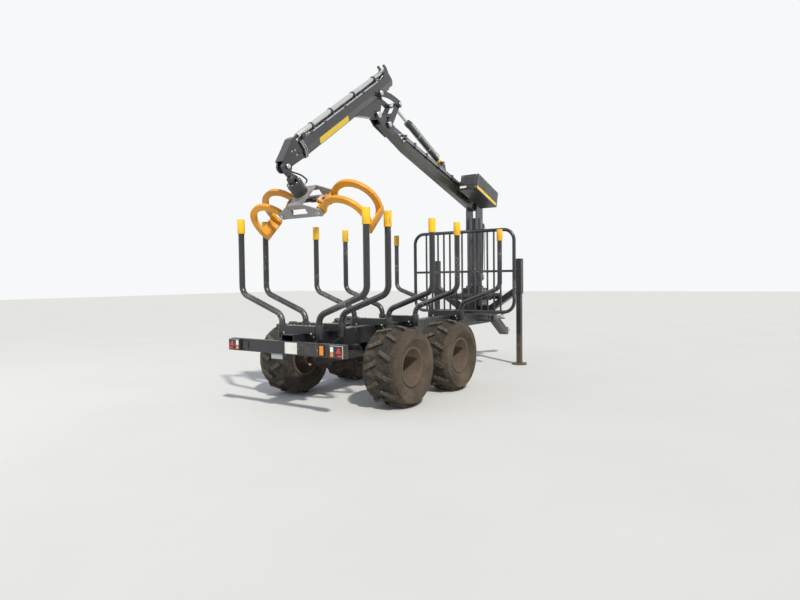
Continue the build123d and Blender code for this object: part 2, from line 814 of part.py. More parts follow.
# Link: a plate on each side from the knee to the stick's link pin
link_pin = point(stick_line, link_pin_a, link_pin_t)
link_pin_r = 28.0
link_eye_r = 50.0
link_arch = 74.0
link_width = 82.0
knee_to_pin = Vector(link_pin) - Vector(knee)
link_len = knee_to_pin.length
link_line = line_plane(link_pin, degrees(atan2(-knee_to_pin.Z, knee_to_pin.X)))
with BuildPart() as link:
    for side in (1, -1):
        y0 = link_in if side > 0 else -link_in - link_t
        with BuildSketch(link_line.offset(y0)):
            with BuildLine():
                ThreePointArc((0, -link_eye_r), (link_len / 2, -link_arch), (link_len, -link_eye_r))
                Line((link_len, -link_eye_r), (link_len, link_eye_r))
                ThreePointArc((link_len, link_eye_r), (link_len / 2, link_width - link_arch), (0, link_eye_r))
                Line((0, link_eye_r), (0, -link_eye_r))
            make_face()
            with Locations((0, 0), (link_len, 0)):
                Circle(link_eye_r)
            Circle(link_pin_r + run_gap, mode=Mode.SUBTRACT)
        extrude(amount=link_t)
        with BuildSketch(link_line.offset(y0 + (link_t if side > 0 else -10))):
            with Locations((link_len, 0)):
                Circle(34)
        extrude(amount=10)
save(link, "link")


def stick_section(grow=0.0):
    """Six-sided tube section, wide at its middle, grown outwards by a wall or a gap."""
    high = stick_h / 2 + grow
    wide = stick_w / 2 + grow
    return [
        (-wide + 20, high), (wide - 20, high), (wide, 0), (wide - 32, -high), (-wide + 32, -high), (-wide, 0),
    ]


def tube_plane(a):
    """Section plane of the stick's tube at distance a, x across and y up."""
    origin = point(stick_line, a, stick_axis_t)
    return Plane(origin=origin, x_dir=(0, 1, 0), z_dir=-stick_line.x_dir)


# Stick: the outer tube, its elbow lug, link trunnions and the cylinder's brackets
lug_half = fork_in - side_gap / 2
with BuildPart() as stick:
    with BuildSketch(tube_plane(stick_front)):
        Polygon(*stick_section(), align=None)
        Polygon(*stick_section(-stick_wall), align=None, mode=Mode.SUBTRACT)
    extrude(amount=stick_front - stick_rear)
    tube_under = stick_axis_t - stick_h / 2
    with BuildSketch(stick_line.offset(-lug_half)):
        with BuildLine():
            Polyline(
                (-260, tube_under + 6), (-230, tube_under - 45), (-58, -22), (58, -22),
                (420, tube_under - 20), (520, tube_under + 6), close=True,
            )
        make_face()
        Circle(60)
        Circle(elbow_pin_r + run_gap, mode=Mode.SUBTRACT)
    extrude(amount=2 * lug_half)
    for side in (1, -1):
        face = stick_w / 2 - 14
        with BuildSketch(stick_line.offset(face if side > 0 else -link_in - link_t - 12)):
            with Locations((link_pin_a, link_pin_t)):
                Circle(link_pin_r)
        extrude(amount=link_in + link_t + 12 - face)
        with BuildSketch(stick_line.offset(face if side > 0 else -link_in + 4)):
            with Locations((link_pin_a, link_pin_t)):
                Circle(46)
        extrude(amount=link_in - 4 - face)
    for a0, a1 in ((stick_rear + 10, stick_rear + 80), (stick_front - 160, stick_front - 110)):
        with BuildSketch(stick_line.offset(-ext_cyl_r - 12)):
            with BuildLine():
                Polyline(
                    (a0, stick_axis_t + stick_h / 2 - 2), (a1, stick_axis_t + stick_h / 2 - 2),
                    (a1, ext_cyl_t), (a0, ext_cyl_t), close=True,
                )
            make_face()
        extrude(amount=2 * ext_cyl_r + 24)
    for y0 in (-ext_cyl_r - 18, ext_cyl_r + 4):
        with BuildSketch(stick_line.offset(y0)):
            with BuildLine():
                Polyline(
                    (stick_rear + 5, stick_axis_t + stick_h / 2 - 2), (stick_rear + 5, bracket_t - 60),
                    (stick_rear + 35, bracket_t), (stick_rear + 75, bracket_t), (stick_rear + 75, bracket_t - 35),
                    (stick_rear + 52, bracket_t - 35), (stick_rear + 95, ext_cyl_t),
                    (stick_rear + 150, stick_axis_t + stick_h / 2 - 2), close=True,
                )
            make_face()
        extrude(amount=14)
    with BuildSketch(tube_plane(stick_rear - 5)):
        with Locations((0, -stick_h / 2)):
            Rectangle(2 * notch_half, 2 * notch_h)
    extrude(amount=-notch_len - 5, mode=Mode.SUBTRACT)
    with BuildSketch(tube_plane(stick_front).offset(-5)):
        with Locations((0, ext_cyl_t - stick_axis_t)):
            Circle(ext_cyl_r + seat_gap)
    extrude(amount=stick_front - stick_rear + 10, mode=Mode.SUBTRACT)
    collar = stick_front
    with BuildSketch(tube_plane(collar)):
        Polygon(*stick_section(12), align=None)
        Polygon(*stick_section(-1), align=None, mode=Mode.SUBTRACT)
    extrude(amount=60)
save(stick, "stick")

# Extension cylinder on the stick
with BuildPart() as ext_barrel:
    with BuildSketch(tube_plane(stick_front - 60)):
        with Locations((0, ext_cyl_t - stick_axis_t)):
            Circle(ext_cyl_r)
    extrude(amount=stick_front - 60 - stick_rear - 20)
    with BuildSketch(tube_plane(stick_front - 60)):
        with Locations((0, ext_cyl_t - stick_axis_t)):
            Circle(ext_rod_r + run_gap)
    extrude(amount=stick_front - 60 - stick_rear - 80, mode=Mode.SUBTRACT)
save(ext_barrel, "extension_barrel")

# Extension: the inner tube with its head, and the rod's eye above it
tip_boss_r = 72.0
tip_pin_r = 25.0
tip_half = 60.0
tip_gap = 34.0
with BuildPart() as extension:
    with BuildSketch(tube_plane(stick_front + 90)):
        Polygon(*stick_section(-stick_wall - slide_gap), align=None)
        Polygon(*stick_section(-2 * stick_wall - slide_gap), align=None, mode=Mode.SUBTRACT)
    extrude(amount=stick_front + 90 - ext_rear)
    with BuildSketch(stick_line.offset(-tip_half)):
        with BuildLine():
            Polyline(
                (stick_front + 30, stick_axis_t - 88), (tip_a - 60, tip_t - 31), (tip_a, tip_t),
                (tip_a + 40, tip_t + 90), (stick_front + 210, stick_axis_t + 125), (stick_front + 90, ext_cyl_t + 30),
                (stick_front + 30, ext_cyl_t + 30), close=True,
            )
        make_face()
        with Locations((tip_a, tip_t)):
            Circle(tip_boss_r)
    extrude(amount=2 * tip_half)
    with BuildSketch(stick_line.offset(-tip_gap)):
        with Locations((tip_a, tip_t)):
            Circle(tip_boss_r + 26)
    extrude(amount=2 * tip_gap, mode=Mode.SUBTRACT)
    with BuildSketch(tube_plane(stick_front + 30)):
        with Locations((0, ext_cyl_t - stick_axis_t)):
            Circle(ext_rod_r)
    extrude(amount=ext_travel + 240)
    with BuildSketch(stick_line.offset(-tip_half - 12)):
        with Locations((tip_a, tip_t)):
            Circle(tip_pin_r)
    extrude(amount=2 * tip_half + 24)
save(extension, "extension")

# Tip link: an upper eye across the crane and a lower eye along it
swing_pin_r = 22.0
with BuildPart() as tip_link:
    with BuildSketch(hang.offset(-tip_gap + side_gap / 2)):
        Circle(48)
        with Locations((link_drop - 30, 0)):
            Circle(20)
        make_hull()
        Circle(tip_pin_r + run_gap, mode=Mode.SUBTRACT)
    extrude(amount=2 * tip_gap - side_gap)
    cross = Plane(origin=point(hang, link_drop, 0), x_dir=hang.x_dir, z_dir=hang.y_dir)
    with BuildSketch(cross.offset(-24)):
        Circle(44)
    extrude(amount=48)
    with BuildSketch(cross.offset(-30)):
        Circle(swing_pin_r + run_gap)
    extrude(amount=60, mode=Mode.SUBTRACT)
save(tip_link, "tip_link")

# Rotator housing, hung in a fork
with BuildPart() as rotator:
    for y0 in (-24 - side_gap / 2 - 16, 24 + side_gap / 2):
        with BuildSketch(cross.offset(y0)):
            Circle(42)
            with Locations((rotator_drop - link_drop, 0)):
                Rectangle(20, 84)
            make_hull()
        extrude(amount=16)
    with BuildSketch(cross.offset(-24 - side_gap / 2 - 22)):
        Circle(swing_pin_r)
    extrude(amount=2 * (24 + side_gap / 2 + 22))
    down = Plane(origin=point(hang, rotator_drop, 0), x_dir=(0, 1, 0), z_dir=hang.x_dir)
    with BuildSketch(down):
        Circle(rotator_r)
    extrude(amount=rotator_h)
save(rotator, "rotator")

# Grapple frame: a turntable, two end plates and the hubs' pins
frame_top = rotator_drop + rotator_h + seat_gap
plate_t = 14.0
frame_plate_out = claw_half + side_gap + plate_t
plate_rise = hub_drop - frame_top - 32
hub_r_out = 42.0
hub_pin_r = 24.0
hub_line = Plane(origin=point(hang, hub_drop, 0), x_dir=(0, -1, 0), z_dir=hang.y_dir)
with BuildPart() as grapple_frame:
    with BuildSketch(Plane(origin=point(hang, frame_top, 0), x_dir=(0, 1, 0), z_dir=hang.x_dir)):
        Circle(rotator_r - 5)
    extrude(amount=30)
    with BuildSketch(Plane(origin=point(hang, frame_top + 30, 0), x_dir=(0, 1, 0), z_dir=hang.x_dir)):
        Rectangle(230, 2 * frame_plate_out)
    extrude(amount=12)
    for side in (1, -1):
        with BuildSketch(hub_line.offset(frame_plate_out - plate_t if side > 0 else -frame_plate_out)):
            with BuildLine():
                Polyline(
                    (-115, plate_rise), (115, plate_rise), (hub_span + 30, 42), (hub_span, -48),
                    (-hub_span, -48), (-hub_span - 30, 42), close=True,
                )
            make_face()
            with Locations((hub_span, 0), (-hub_span, 0)):
                Circle(54)
            with Locations((0, 40)):
                Rectangle(250, 80, mode=Mode.SUBTRACT)
        extrude(amount=plate_t)
    for side in (1, -1):
        with BuildSketch(hub_line.offset(-frame_plate_out - 6)):
            with Locations((side * hub_span, 0)):
                Circle(hub_pin_r)
        extrude(amount=2 * frame_plate_out + 12)
save(grapple_frame, "grapple_frame")

# Claws: two curved arms on a hub tube, with a lever for the cylinder
arm_t = 45.0
arc_centre = (285.0, -155.0)
claw_out_r = hypot(*arc_centre) + 12
tip_turn = -41.5
tip_plate_turn = -14.0
lever = (-61.0, 63.0)
lever_pin_r = 16.0
claw_wide = 66.0
knuckle_r = 86.0
knuckle_t = 22.0
knuckle_places = (-116.0, -82.0, 60.0, 94.0)
grip_cyl_half = 34.0


def ray(turn, reach):
    """A point on a ray from the arms' centre."""
    return (arc_centre[0] + reach * cos(radians(turn)), arc_centre[1] + reach * sin(radians(turn)))


def claw(side, label):
    """One claw; side 1 is the right one, on the near side."""
    base = Plane(
        origin=point(hub_line, side * hub_span, 0),
        x_dir=Vector(0, -side, 0),
        z_dir=Vector(hub_line.z_dir) * side,
    )
    with BuildPart() as body:
        for z0 in (-claw_half, claw_half - arm_t):
            with BuildSketch(base.offset(z0)):
                with Locations(arc_centre):
                    Circle(claw_out_r)
                    Circle(claw_out_r - claw_wide - 12, mode=Mode.SUBTRACT)
                with BuildLine():
                    Polyline(
                        (0, 0), (-300, -60), (-300, -700), (560, -700), ray(tip_turn, 400), arc_centre, close=True,
                    )
                make_face(mode=Mode.SUBTRACT)
            extrude(amount=arm_t)
        with BuildSketch(base.offset(-claw_half)):
            Circle(hub_r_out)
        extrude(amount=2 * claw_half)
        with BuildSketch(base.offset(-claw_half)):
            with Locations(arc_centre):
                Circle(claw_out_r + 8)
                Circle(claw_out_r - 14, mode=Mode.SUBTRACT)
            with BuildLine():
                Polyline(arc_centre, ray(tip_turn, 600), ray(tip_plate_turn, 600), close=True)
            make_face(mode=Mode.INTERSECT)
        extrude(amount=2 * claw_half)
        for z0 in knuckle_places:
            with BuildSketch(base.offset(z0)):
                Circle(knuckle_r - 18)
                with BuildLine():
                    Polyline((0, 0), (-200, 180), (-200, -400), (60, -300), close=True)
                make_face(mode=Mode.INTERSECT)
                Circle(hub_r_out + 2)
            extrude(amount=knuckle_t)
            with BuildSketch(base.offset(z0 + 4)):
                Circle(knuckle_r)
                with BuildLine():
                    Polyline((0, 0), (-200, 70), (-200, -200), (-40, -200), close=True)
                make_face(mode=Mode.INTERSECT)
            extrude(amount=knuckle_t - 8)
        for z0 in (-grip_cyl_half - side_gap / 2 - 14, grip_cyl_half + side_gap / 2):
            with BuildSketch(base.offset(z0)):
                Circle(hub_r_out - 4)
                with Locations(lever):
                    Circle(30)
                make_hull()
            extrude(amount=14)
        if side < 0:
            with BuildSketch(base.offset(-grip_cyl_half - side_gap / 2 - 16)):
                with Locations(lever):
                    Circle(lever_pin_r)
            extrude(amount=2 * (grip_cyl_half + side_gap / 2 + 16))
        with BuildSketch(base.offset(-claw_half - 5)):
            Circle(hub_pin_r + run_gap)
        extrude(amount=2 * claw_half + 10, mode=Mode.SUBTRACT)
    save(body, label)


claw(1, "claw_right")
claw(-1, "claw_left")

# Grapple cylinder between the two levers
grip_foot = point(hub_line, -hub_span - lever[0], lever[1])
grip_head = point(hub_line, hub_span + lever[0], lever[1])
barrel(grip_foot, grip_head, hub_line.z_dir, 400, 26, 16, grip_cyl_half, lever_pin_r, 40, "grip_barrel")
rod(grip_foot, grip_head, hub_line.z_dir, 70, 16, grip_cyl_half, 30, "grip_rod")

# Drawbar, its towing eye and steering cylinders
eye_x = at(eye_ahead)
hub_low = beam_low + fork_t + 3
hub_top = beam_top - fork_t - 3
with BuildPart() as drawbar:
    with BuildSketch(Plane.XZ.offset(-drawbar_w / 2)):
        with BuildLine():
            Polyline(
                (hinge_x, hub_low), (hinge_x + 260, hub_low), (eye_x - 220, eye_h - 75), (eye_x - 120, eye_h - 75),
                (eye_x - 120, eye_h + 75), (eye_x - 200, eye_h + 75), (hinge_x + 300, hub_top),
                (hinge_x, hub_top), close=True,
            )
        make_face()
    extrude(amount=drawbar_w)
    with BuildSketch(Plane.XY.offset(hub_low)):
        with Locations((hinge_x, 0)):
            Circle(84)
    extrude(amount=hub_top - hub_low)
    for z0 in (beam_mid - ear_gap / 2 - ear_t, beam_mid + ear_gap / 2):
        with BuildSketch(Plane.XY.offset(z0)):
            with BuildLine():
                Polyline(
                    (hinge_x + steer_ear_ahead - 90, 0), (hinge_x + steer_ear_ahead - ear_r, steer_ear_y),
                    (hinge_x + steer_ear_ahead + ear_r, steer_ear_y), (hinge_x + steer_ear_ahead + 90, 0),
                    close=True,
                )
            make_face()
            with Locations((hinge_x + steer_ear_ahead, steer_ear_y)):
                Circle(ear_r)
            mirror(about=Plane.XZ)
        extrude(amount=ear_t)
    with BuildSketch(Plane.XY.offset(hub_low - 5)):
        with Locations((hinge_x, 0)):
            Circle(hinge_pin_r + run_gap)
    extrude(amount=hub_top - hub_low + 10, mode=Mode.SUBTRACT)
save(drawbar, "drawbar")

with BuildPart() as towing_eye:
    with BuildSketch(Plane.XY.offset(eye_h - eye_t / 2)):
        with Locations((eye_x, 0)):
            Circle(eye_out_r)
        with Locations((eye_x - 70, 0)):
            Rectangle(60, 70)
        with Locations((eye_x, 0)):
            Circle(eye_bore_r, mode=Mode.SUBTRACT)
    extrude(amount=eye_t)
    with BuildSketch(Plane.YZ.offset(eye_x - 120)):
        with Locations((0, eye_h)):
            Rectangle(drawbar_w, 150)
    extrude(amount=24)
save(towing_eye, "towing_eye")

for side, side_name in side_names.items():
    foot = (hinge_x - steer_foot_back, side * steer_foot_y, beam_mid)
    head = (hinge_x + steer_ear_ahead, side * steer_ear_y, beam_mid)
    plane = Plane(origin=foot, x_dir=(0, 0, 1), z_dir=Vector(head) - Vector(foot))
    total = (Vector(head) - Vector(foot)).length
    steer_r = 34.0
    steer_rod_r = 18.0
    with BuildPart() as steer_barrel:
        with BuildSketch(plane.offset(30)):
            Circle(steer_r)
        extrude(amount=steer_barrel_len - 30)
        with BuildSketch(Plane.XY.offset(beam_mid - ear_gap / 2 + 2)):
            with Locations(foot[:2]):
                Circle(34)
        extrude(amount=ear_gap - 4)
        with BuildSketch(plane.offset(45)):
            Circle(steer_rod_r + run_gap)
        extrude(amount=steer_barrel_len, mode=Mode.SUBTRACT)
        with BuildSketch(Plane.XY.offset(beam_mid - ear_gap / 2)):
            with Locations(foot[:2]):
                Circle(steer_pin_r + run_gap)
        extrude(amount=ear_gap, mode=Mode.SUBTRACT)
    save(steer_barrel, f"steer_barrel_{side_name}")
    with BuildPart() as steer_rod:
        with BuildSketch(plane.offset(steer_rod_inside)):
            Circle(steer_rod_r)
        extrude(amount=total - steer_rod_inside)
        with BuildSketch(Plane.XY.offset(beam_mid - ear_gap / 2 + 2)):
            with Locations(head[:2]):
                Circle(32)
        extrude(amount=ear_gap - 4)
    save(steer_rod, f"steer_rod_{side_name}")
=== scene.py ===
import bpy
import bmesh
import json
from math import cos, pi, radians, sin
from mathutils import Matrix, Vector
from mathutils.bvhtree import BVHTree


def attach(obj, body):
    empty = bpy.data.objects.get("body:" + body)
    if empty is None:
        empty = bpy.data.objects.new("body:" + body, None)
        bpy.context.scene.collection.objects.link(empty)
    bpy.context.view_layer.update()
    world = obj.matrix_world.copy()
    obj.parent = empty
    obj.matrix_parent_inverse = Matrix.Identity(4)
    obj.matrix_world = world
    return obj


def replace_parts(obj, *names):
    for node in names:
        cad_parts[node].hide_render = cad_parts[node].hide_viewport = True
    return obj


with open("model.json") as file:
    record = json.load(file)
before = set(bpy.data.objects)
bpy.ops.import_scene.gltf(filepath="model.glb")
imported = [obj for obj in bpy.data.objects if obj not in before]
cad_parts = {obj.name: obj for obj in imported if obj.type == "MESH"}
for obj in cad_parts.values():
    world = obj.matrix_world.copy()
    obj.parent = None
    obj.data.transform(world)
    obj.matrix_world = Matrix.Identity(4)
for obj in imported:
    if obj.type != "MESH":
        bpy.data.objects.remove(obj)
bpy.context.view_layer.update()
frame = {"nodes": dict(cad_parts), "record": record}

# Places. The pins that are joints come from the frame, in metres. The crane's lines have the sizes of the
# part's source, in mm, and the functions below turn a place on a line into metres. Radii, lengths and the
# sizes of blocks are in metres.
mm = 0.001
pins = {
    joint["name"]: Vector(joint["pos_m"])
    for joint in frame["record"]["behaviour"]["joints"] if "pos_m" in joint
}
pivot = pins["boom_lift"]
mast = pins["slew"]
origin_ahead = 3020
boom_len = 3300
boom_a = radians(16.4)
stick_a = radians(-35.4)
hang_a = radians(45)

across = Vector((0, 1, 0))
upward = Vector((0, 0, 1))
rear = Vector((-1, 0, 0))


def at(ahead):
    """World x from a distance ahead of the rear stakes in mm."""
    return (ahead - origin_ahead) * mm


def boom(s, t, y=0.0):
    """Place on the boom's line: distance from the pivot, height over the line and side."""
    return pivot + Vector((-cos(boom_a) * s + sin(boom_a) * t, y, sin(boom_a) * s + cos(boom_a) * t)) * mm


elbow = boom(boom_len, 0)
knee = boom(2925, 375)


def stick(a, t, y=0.0):
    """Place on the stick's line: distance from the elbow, height over the line and side."""
    return elbow + Vector((-cos(stick_a) * a + sin(stick_a) * t, y, sin(stick_a) * a + cos(stick_a) * t)) * mm


tip = stick(2068, 231)


def hang(d, w=0.0, y=0.0):
    """Place under the tip's pin: down the hang line, across it and to the side."""
    return tip + Vector((sin(hang_a) * d - cos(hang_a) * w, y, -cos(hang_a) * d - sin(hang_a) * w)) * mm


def direction(a, b):
    return (b - a).normalized()


boom_x = direction(boom(0, 0), boom(1000, 0))
boom_y = direction(boom(0, 0), boom(0, 1000))
stick_x = direction(stick(0, 0), stick(1000, 0))
stick_y = direction(stick(0, 0), stick(0, 1000))
hang_x = direction(hang(0), hang(1000))
hang_y = direction(hang(0), hang(0, 1000))
boom_axes = (boom_x, boom_y, across)
stick_axes = (stick_x, stick_y, across)
board_axes = (rear, across, upward)


def circle(centre, x, y, radius, count, start=0.0):
    """Evenly spaced places on a circle. The first is turned on by start, a share of one space."""
    turns = [2 * pi * (k + start) / count for k in range(count)]
    return [centre + (x * cos(turn) + y * sin(turn)) * radius for turn in turns]


# Materials
mud_colour = (0.085, 0.062, 0.042)
dust_colour = (0.22, 0.185, 0.14)
rust_colour = (0.17, 0.06, 0.022)
noise_turn = (0.3, 0.5, 0.2)


def shaded(colour, share):
    return tuple(min(c * share, 1) for c in colour)


class Nodes:
    """A node tree with short calls for making and joining its nodes."""

    def __init__(self, name):
        self.mat = bpy.data.materials.new(name)
        self.mat.use_nodes = True
        self.tree = self.mat.node_tree
        self.bsdf = self.tree.nodes["Principled BSDF"]
        self.coord = self.tree.nodes.new("ShaderNodeTexCoord").outputs["Object"]

    def join(self, a, b):
        self.tree.links.new(a, b)

    def noise(self, scale, detail=4.0, rough=0.55, stretch=None):
        """Noise in the frame's coordinates, turned off their axes where a stretch is given."""
        node = self.tree.nodes.new("ShaderNodeTexNoise")
        node.inputs["Scale"].default_value = scale
        node.inputs["Detail"].default_value = detail
        node.inputs["Roughness"].default_value = rough
        place = self.coord
        if stretch:
            mapping = self.tree.nodes.new("ShaderNodeMapping")
            mapping.inputs["Scale"].default_value = stretch
            mapping.inputs["Rotation"].default_value = noise_turn
            self.join(self.coord, mapping.inputs["Vector"])
            place = mapping.outputs["Vector"]
        self.join(place, node.inputs["Vector"])
        return node.outputs["Fac"]

    def math(self, kind, a, b=0.0):
        node = self.tree.nodes.new("ShaderNodeMath")
        node.operation = kind
        for socket, value in zip(node.inputs, (a, b)):
            if isinstance(value, (int, float)):
                socket.default_value = value
            else:
                self.join(value, socket)
        return node.outputs[0]

    def steps(self, value, low, high, to=(0.0, 1.0)):
        """Spread what lies from low to high over the range in to, and hold it outside."""
        node = self.tree.nodes.new("ShaderNodeMapRange")
        for socket, number in zip(("From Min", "From Max", "To Min", "To Max"), (low, high, *to)):
            node.inputs[socket].default_value = number
        self.join(value, node.inputs["Value"])
        return node.outputs["Result"]

    def mix(self, fac, a, b):
        node = self.tree.nodes.new("ShaderNodeMix")
        node.data_type = "RGBA"
        self.join(fac, node.inputs["Factor"])
        for socket, value in ((node.inputs["A"], a), (node.inputs["B"], b)):
            if isinstance(value, tuple):
                socket.default_value = (*value, 1)
            else:
                self.join(value, socket)
        return node.outputs["Result"]

    def axis(self, socket, letter):
        node = self.tree.nodes.new("ShaderNodeSeparateXYZ")
        self.join(socket, node.inputs["Vector"])
        return node.outputs[letter]

    def up(self):
        """How far a face looks up, from -1 to 1."""
        node = self.tree.nodes.new("ShaderNodeNewGeometry")
        return self.axis(node.outputs["Normal"], "Z")

    def finish(self, base, rough, height, strength, distance):
        """Join colour, roughness and bump to the surface, and give the material back."""
        node = self.tree.nodes.new("ShaderNodeBump")
        node.inputs["Strength"].default_value = strength
        node.inputs["Distance"].default_value = distance
        self.join(height, node.inputs["Height"])
        self.join(node.outputs["Normal"], self.bsdf.inputs["Normal"])
        self.join(base, self.bsdf.inputs["Base Color"])
        self.join(rough, self.bsdf.inputs["Roughness"])
        return self.mat


def worn_off(n, base, wear, worn):
    """Scratches down to the worn colour, in patches, and specks of rust."""
    marks = n.noise(30, detail=8, rough=0.7, stretch=(1, 6, 0.8))
    marks = n.steps(marks, 0.68 - 0.12 * wear, 0.71 - 0.1 * wear)
    patch = n.steps(n.noise(2.1, detail=3), 0.5, 0.62)
    base = n.mix(n.math("MULTIPLY", marks, patch), base, worn)
    specks = n.steps(n.noise(17, detail=9, rough=0.75), 0.74 - 0.1 * wear, 0.79 - 0.1 * wear)
    return n.mix(n.math("MULTIPLY", specks, 0.8), base, rust_colour)


def dusted(n, base, rough, dust):
    """A film of dust on what faces up, and a thin veil of it elsewhere."""
    lie = n.steps(n.up(), 0.15, 0.95)
    thick = n.steps(n.noise(7, detail=7, rough=0.65), 0.34, 0.72)
    film = n.math("MULTIPLY", n.math("MULTIPLY", lie, thick), dust)
    veil = n.math("MULTIPLY", n.steps(n.noise(1.4, detail=4), 0.42, 0.75), dust * 0.22)
    film = n.math("MAXIMUM", film, veil)
    rough = n.math("MAXIMUM", rough, n.steps(film, 0.0, 0.6, to=(0.0, 0.8)))
    return n.mix(film, base, dust_colour), rough


def painted_ground_reflection(n, base, share):
    """Painted reflection of the brown ground on faces that look down at it."""
    reflected_ground_tone = n.mix(n.noise(9, detail=6), (0.030, 0.025, 0.017), (0.062, 0.050, 0.034))
    return n.mix(n.math("MULTIPLY", n.steps(n.up(), -0.04, -0.12), share), base, reflected_ground_tone)


def muddied(n, base, rough, height, mud, mud_top):
    """Caked mud, from a little at mud_top to the most near the ground."""
    low = n.steps(n.axis(n.coord, "Z"), mud_top, 0.35)
    lump = n.noise(5.5, detail=9, rough=0.62)
    amount = n.math("ADD", n.math("MULTIPLY", low, mud), n.math("MULTIPLY", lump, 0.9))
    caked = n.steps(amount, 0.78, 0.98)
    tone = n.mix(n.noise(21, detail=6), shaded(mud_colour, 0.6), shaded(mud_colour, 1.5))
    rise = n.steps(n.noise(38, detail=8, rough=0.7), 0.2, 0.8, to=(0.6, 3.2))
    rough = n.math("MAXIMUM", rough, n.steps(caked, 0, 1, to=(0, 0.92)))
    height = n.math("ADD", height, n.math("MULTIPLY", caked, rise))
    return n.mix(caked, base, tone), rough, height


def paint(name, colour, rough, coat, dust, wear, worn=(0.3, 0.29, 0.28), metal=0.0, mud=0.0, mud_top=1.15,
          ground_reflection_share=0.0):
    """Paint with uneven tone, wear and dust, and where asked mud low down and a painted reflection of the
    brown ground on faces that look down.
    """
    n = Nodes(name)
    base = n.mix(n.steps(n.noise(2.3, detail=5), 0.35, 0.7), shaded(colour, 0.78), shaded(colour, 1.22))
    gloss = n.steps(n.noise(14, detail=6), 0.3, 0.7, to=(rough - 0.08, rough + 0.14))
    height = n.math("MULTIPLY", n.noise(95, detail=3), 0.25)
    base = worn_off(n, base, wear, worn)
    base, gloss = dusted(n, base, gloss, dust)
    if ground_reflection_share:
        # painted reflection of the brown ground on the faces that look down
        base = painted_ground_reflection(n, base, ground_reflection_share)
    if mud:
        base, gloss, height = muddied(n, base, gloss, height, mud, mud_top)
    n.bsdf.inputs["Metallic"].default_value = metal
    n.bsdf.inputs["Coat Weight"].default_value = coat
    n.bsdf.inputs["Coat Roughness"].default_value = 0.22
    return n.finish(base, gloss, height, strength=0.55, distance=0.0022)


def metal(name, colour, rough, stain):
    """Bright steel with fine grain and brown stains."""
    n = Nodes(name)
    grain = n.noise(120, detail=4, rough=0.6, stretch=(1, 1, 1))
    spots = n.noise(11, detail=8, rough=0.7)
    base = n.mix(n.noise(6, detail=5), shaded(colour, 0.8), colour)
    base = n.mix(n.steps(spots, 0.75 - stain * 0.3, 0.86 - stain * 0.25), base, (0.11, 0.07, 0.045))
    n.bsdf.inputs["Metallic"].default_value = 1.0
    gloss = n.steps(grain, 0.3, 0.7, to=(rough * 0.7, rough * 1.4))
    return n.finish(base, gloss, grain, strength=0.12, distance=0.0006)


def rubber(name, colour, rough):
    n = Nodes(name)
    base = n.mix(n.noise(5, detail=5), shaded(colour, 0.7), shaded(colour, 1.5))
    gloss = n.steps(n.noise(20, detail=4), 0.3, 0.7, to=(rough - 0.08, rough + 0.1))
    grain = n.math("MULTIPLY", n.noise(160, detail=3), 0.3)
    return n.finish(base, gloss, grain, strength=0.6, distance=0.003)


def tyre_skin(name, axle):
    """Rubber with worn lug tops, packed grooves and caked outer walls, about one axle's line."""
    lug_top, groove = (0.484, 0.494), (0.482, 0.470)
    outer_wall, near_ground = (1.02, 1.10), (0.45, 0.0)
    n = Nodes(name)
    dx = n.math("SUBTRACT", n.axis(n.coord, "X"), axle.x)
    dz = n.math("SUBTRACT", n.axis(n.coord, "Z"), axle.z)
    from_axle = n.math("SQRT", n.math("ADD", n.math("MULTIPLY", dx, dx), n.math("MULTIPLY", dz, dz)))
    from_middle = n.math("ABSOLUTE", n.axis(n.coord, "Y"))
    top = n.steps(from_axle, *lug_top)
    scuff = n.steps(n.noise(46, detail=8, rough=0.7), 0.42, 0.66)
    base = n.mix(n.noise(8, detail=6), (0.010, 0.0095, 0.009), (0.030, 0.027, 0.023))
    base = n.mix(n.math("MULTIPLY", top, scuff), base, (0.17, 0.145, 0.105))

    lump = n.noise(8, detail=9, rough=0.66)
    in_grooves = n.steps(from_axle, *groove, to=(0.0, 0.10))
    on_wall = n.steps(from_middle, *outer_wall, to=(0.0, 0.30))
    low_down = n.steps(n.axis(n.coord, "Z"), *near_ground, to=(0.0, 0.12))
    amount = n.math("ADD", n.math("ADD", lump, on_wall), n.math("ADD", in_grooves, low_down))
    caked = n.math("MULTIPLY", n.steps(amount, 0.56, 0.68), n.steps(top, 0, 1, to=(1.0, 0.35)))
    wet = n.steps(n.noise(2.6, detail=4), 0.4, 0.62)
    tone = n.mix(wet, (0.040, 0.028, 0.018), (0.155, 0.118, 0.080))
    tone = n.mix(n.steps(n.noise(36, detail=8, rough=0.7), 0.3, 0.7), tone, (0.075, 0.055, 0.037))
    rise = n.steps(n.noise(27, detail=9, rough=0.74), 0.2, 0.8, to=(1.0, 8.0))
    height = n.math("ADD", n.math("MULTIPLY", n.noise(150, detail=3), 0.25), n.math("MULTIPLY", caked, rise))
    gloss = n.steps(caked, 0, 1, to=(0.66, 0.95))
    return n.finish(n.mix(caked, base, tone), gloss, height, strength=0.8, distance=0.004)


def plastic(name, colour, rough, coat=0.0, dust=0.2):
    n = Nodes(name)
    base = n.mix(n.noise(4, detail=4), shaded(colour, 0.85), colour)
    film = n.math("MULTIPLY", n.steps(n.noise(9, detail=7, rough=0.66), 0.4, 0.75), dust)
    gloss = n.steps(n.noise(40, detail=5), 0.3, 0.7, to=(rough - 0.06, rough + 0.1))
    n.bsdf.inputs["Coat Weight"].default_value = coat
    grain = n.noise(240, detail=2)
    return n.finish(n.mix(film, base, dust_colour), gloss, grain, strength=0.15, distance=0.0008)


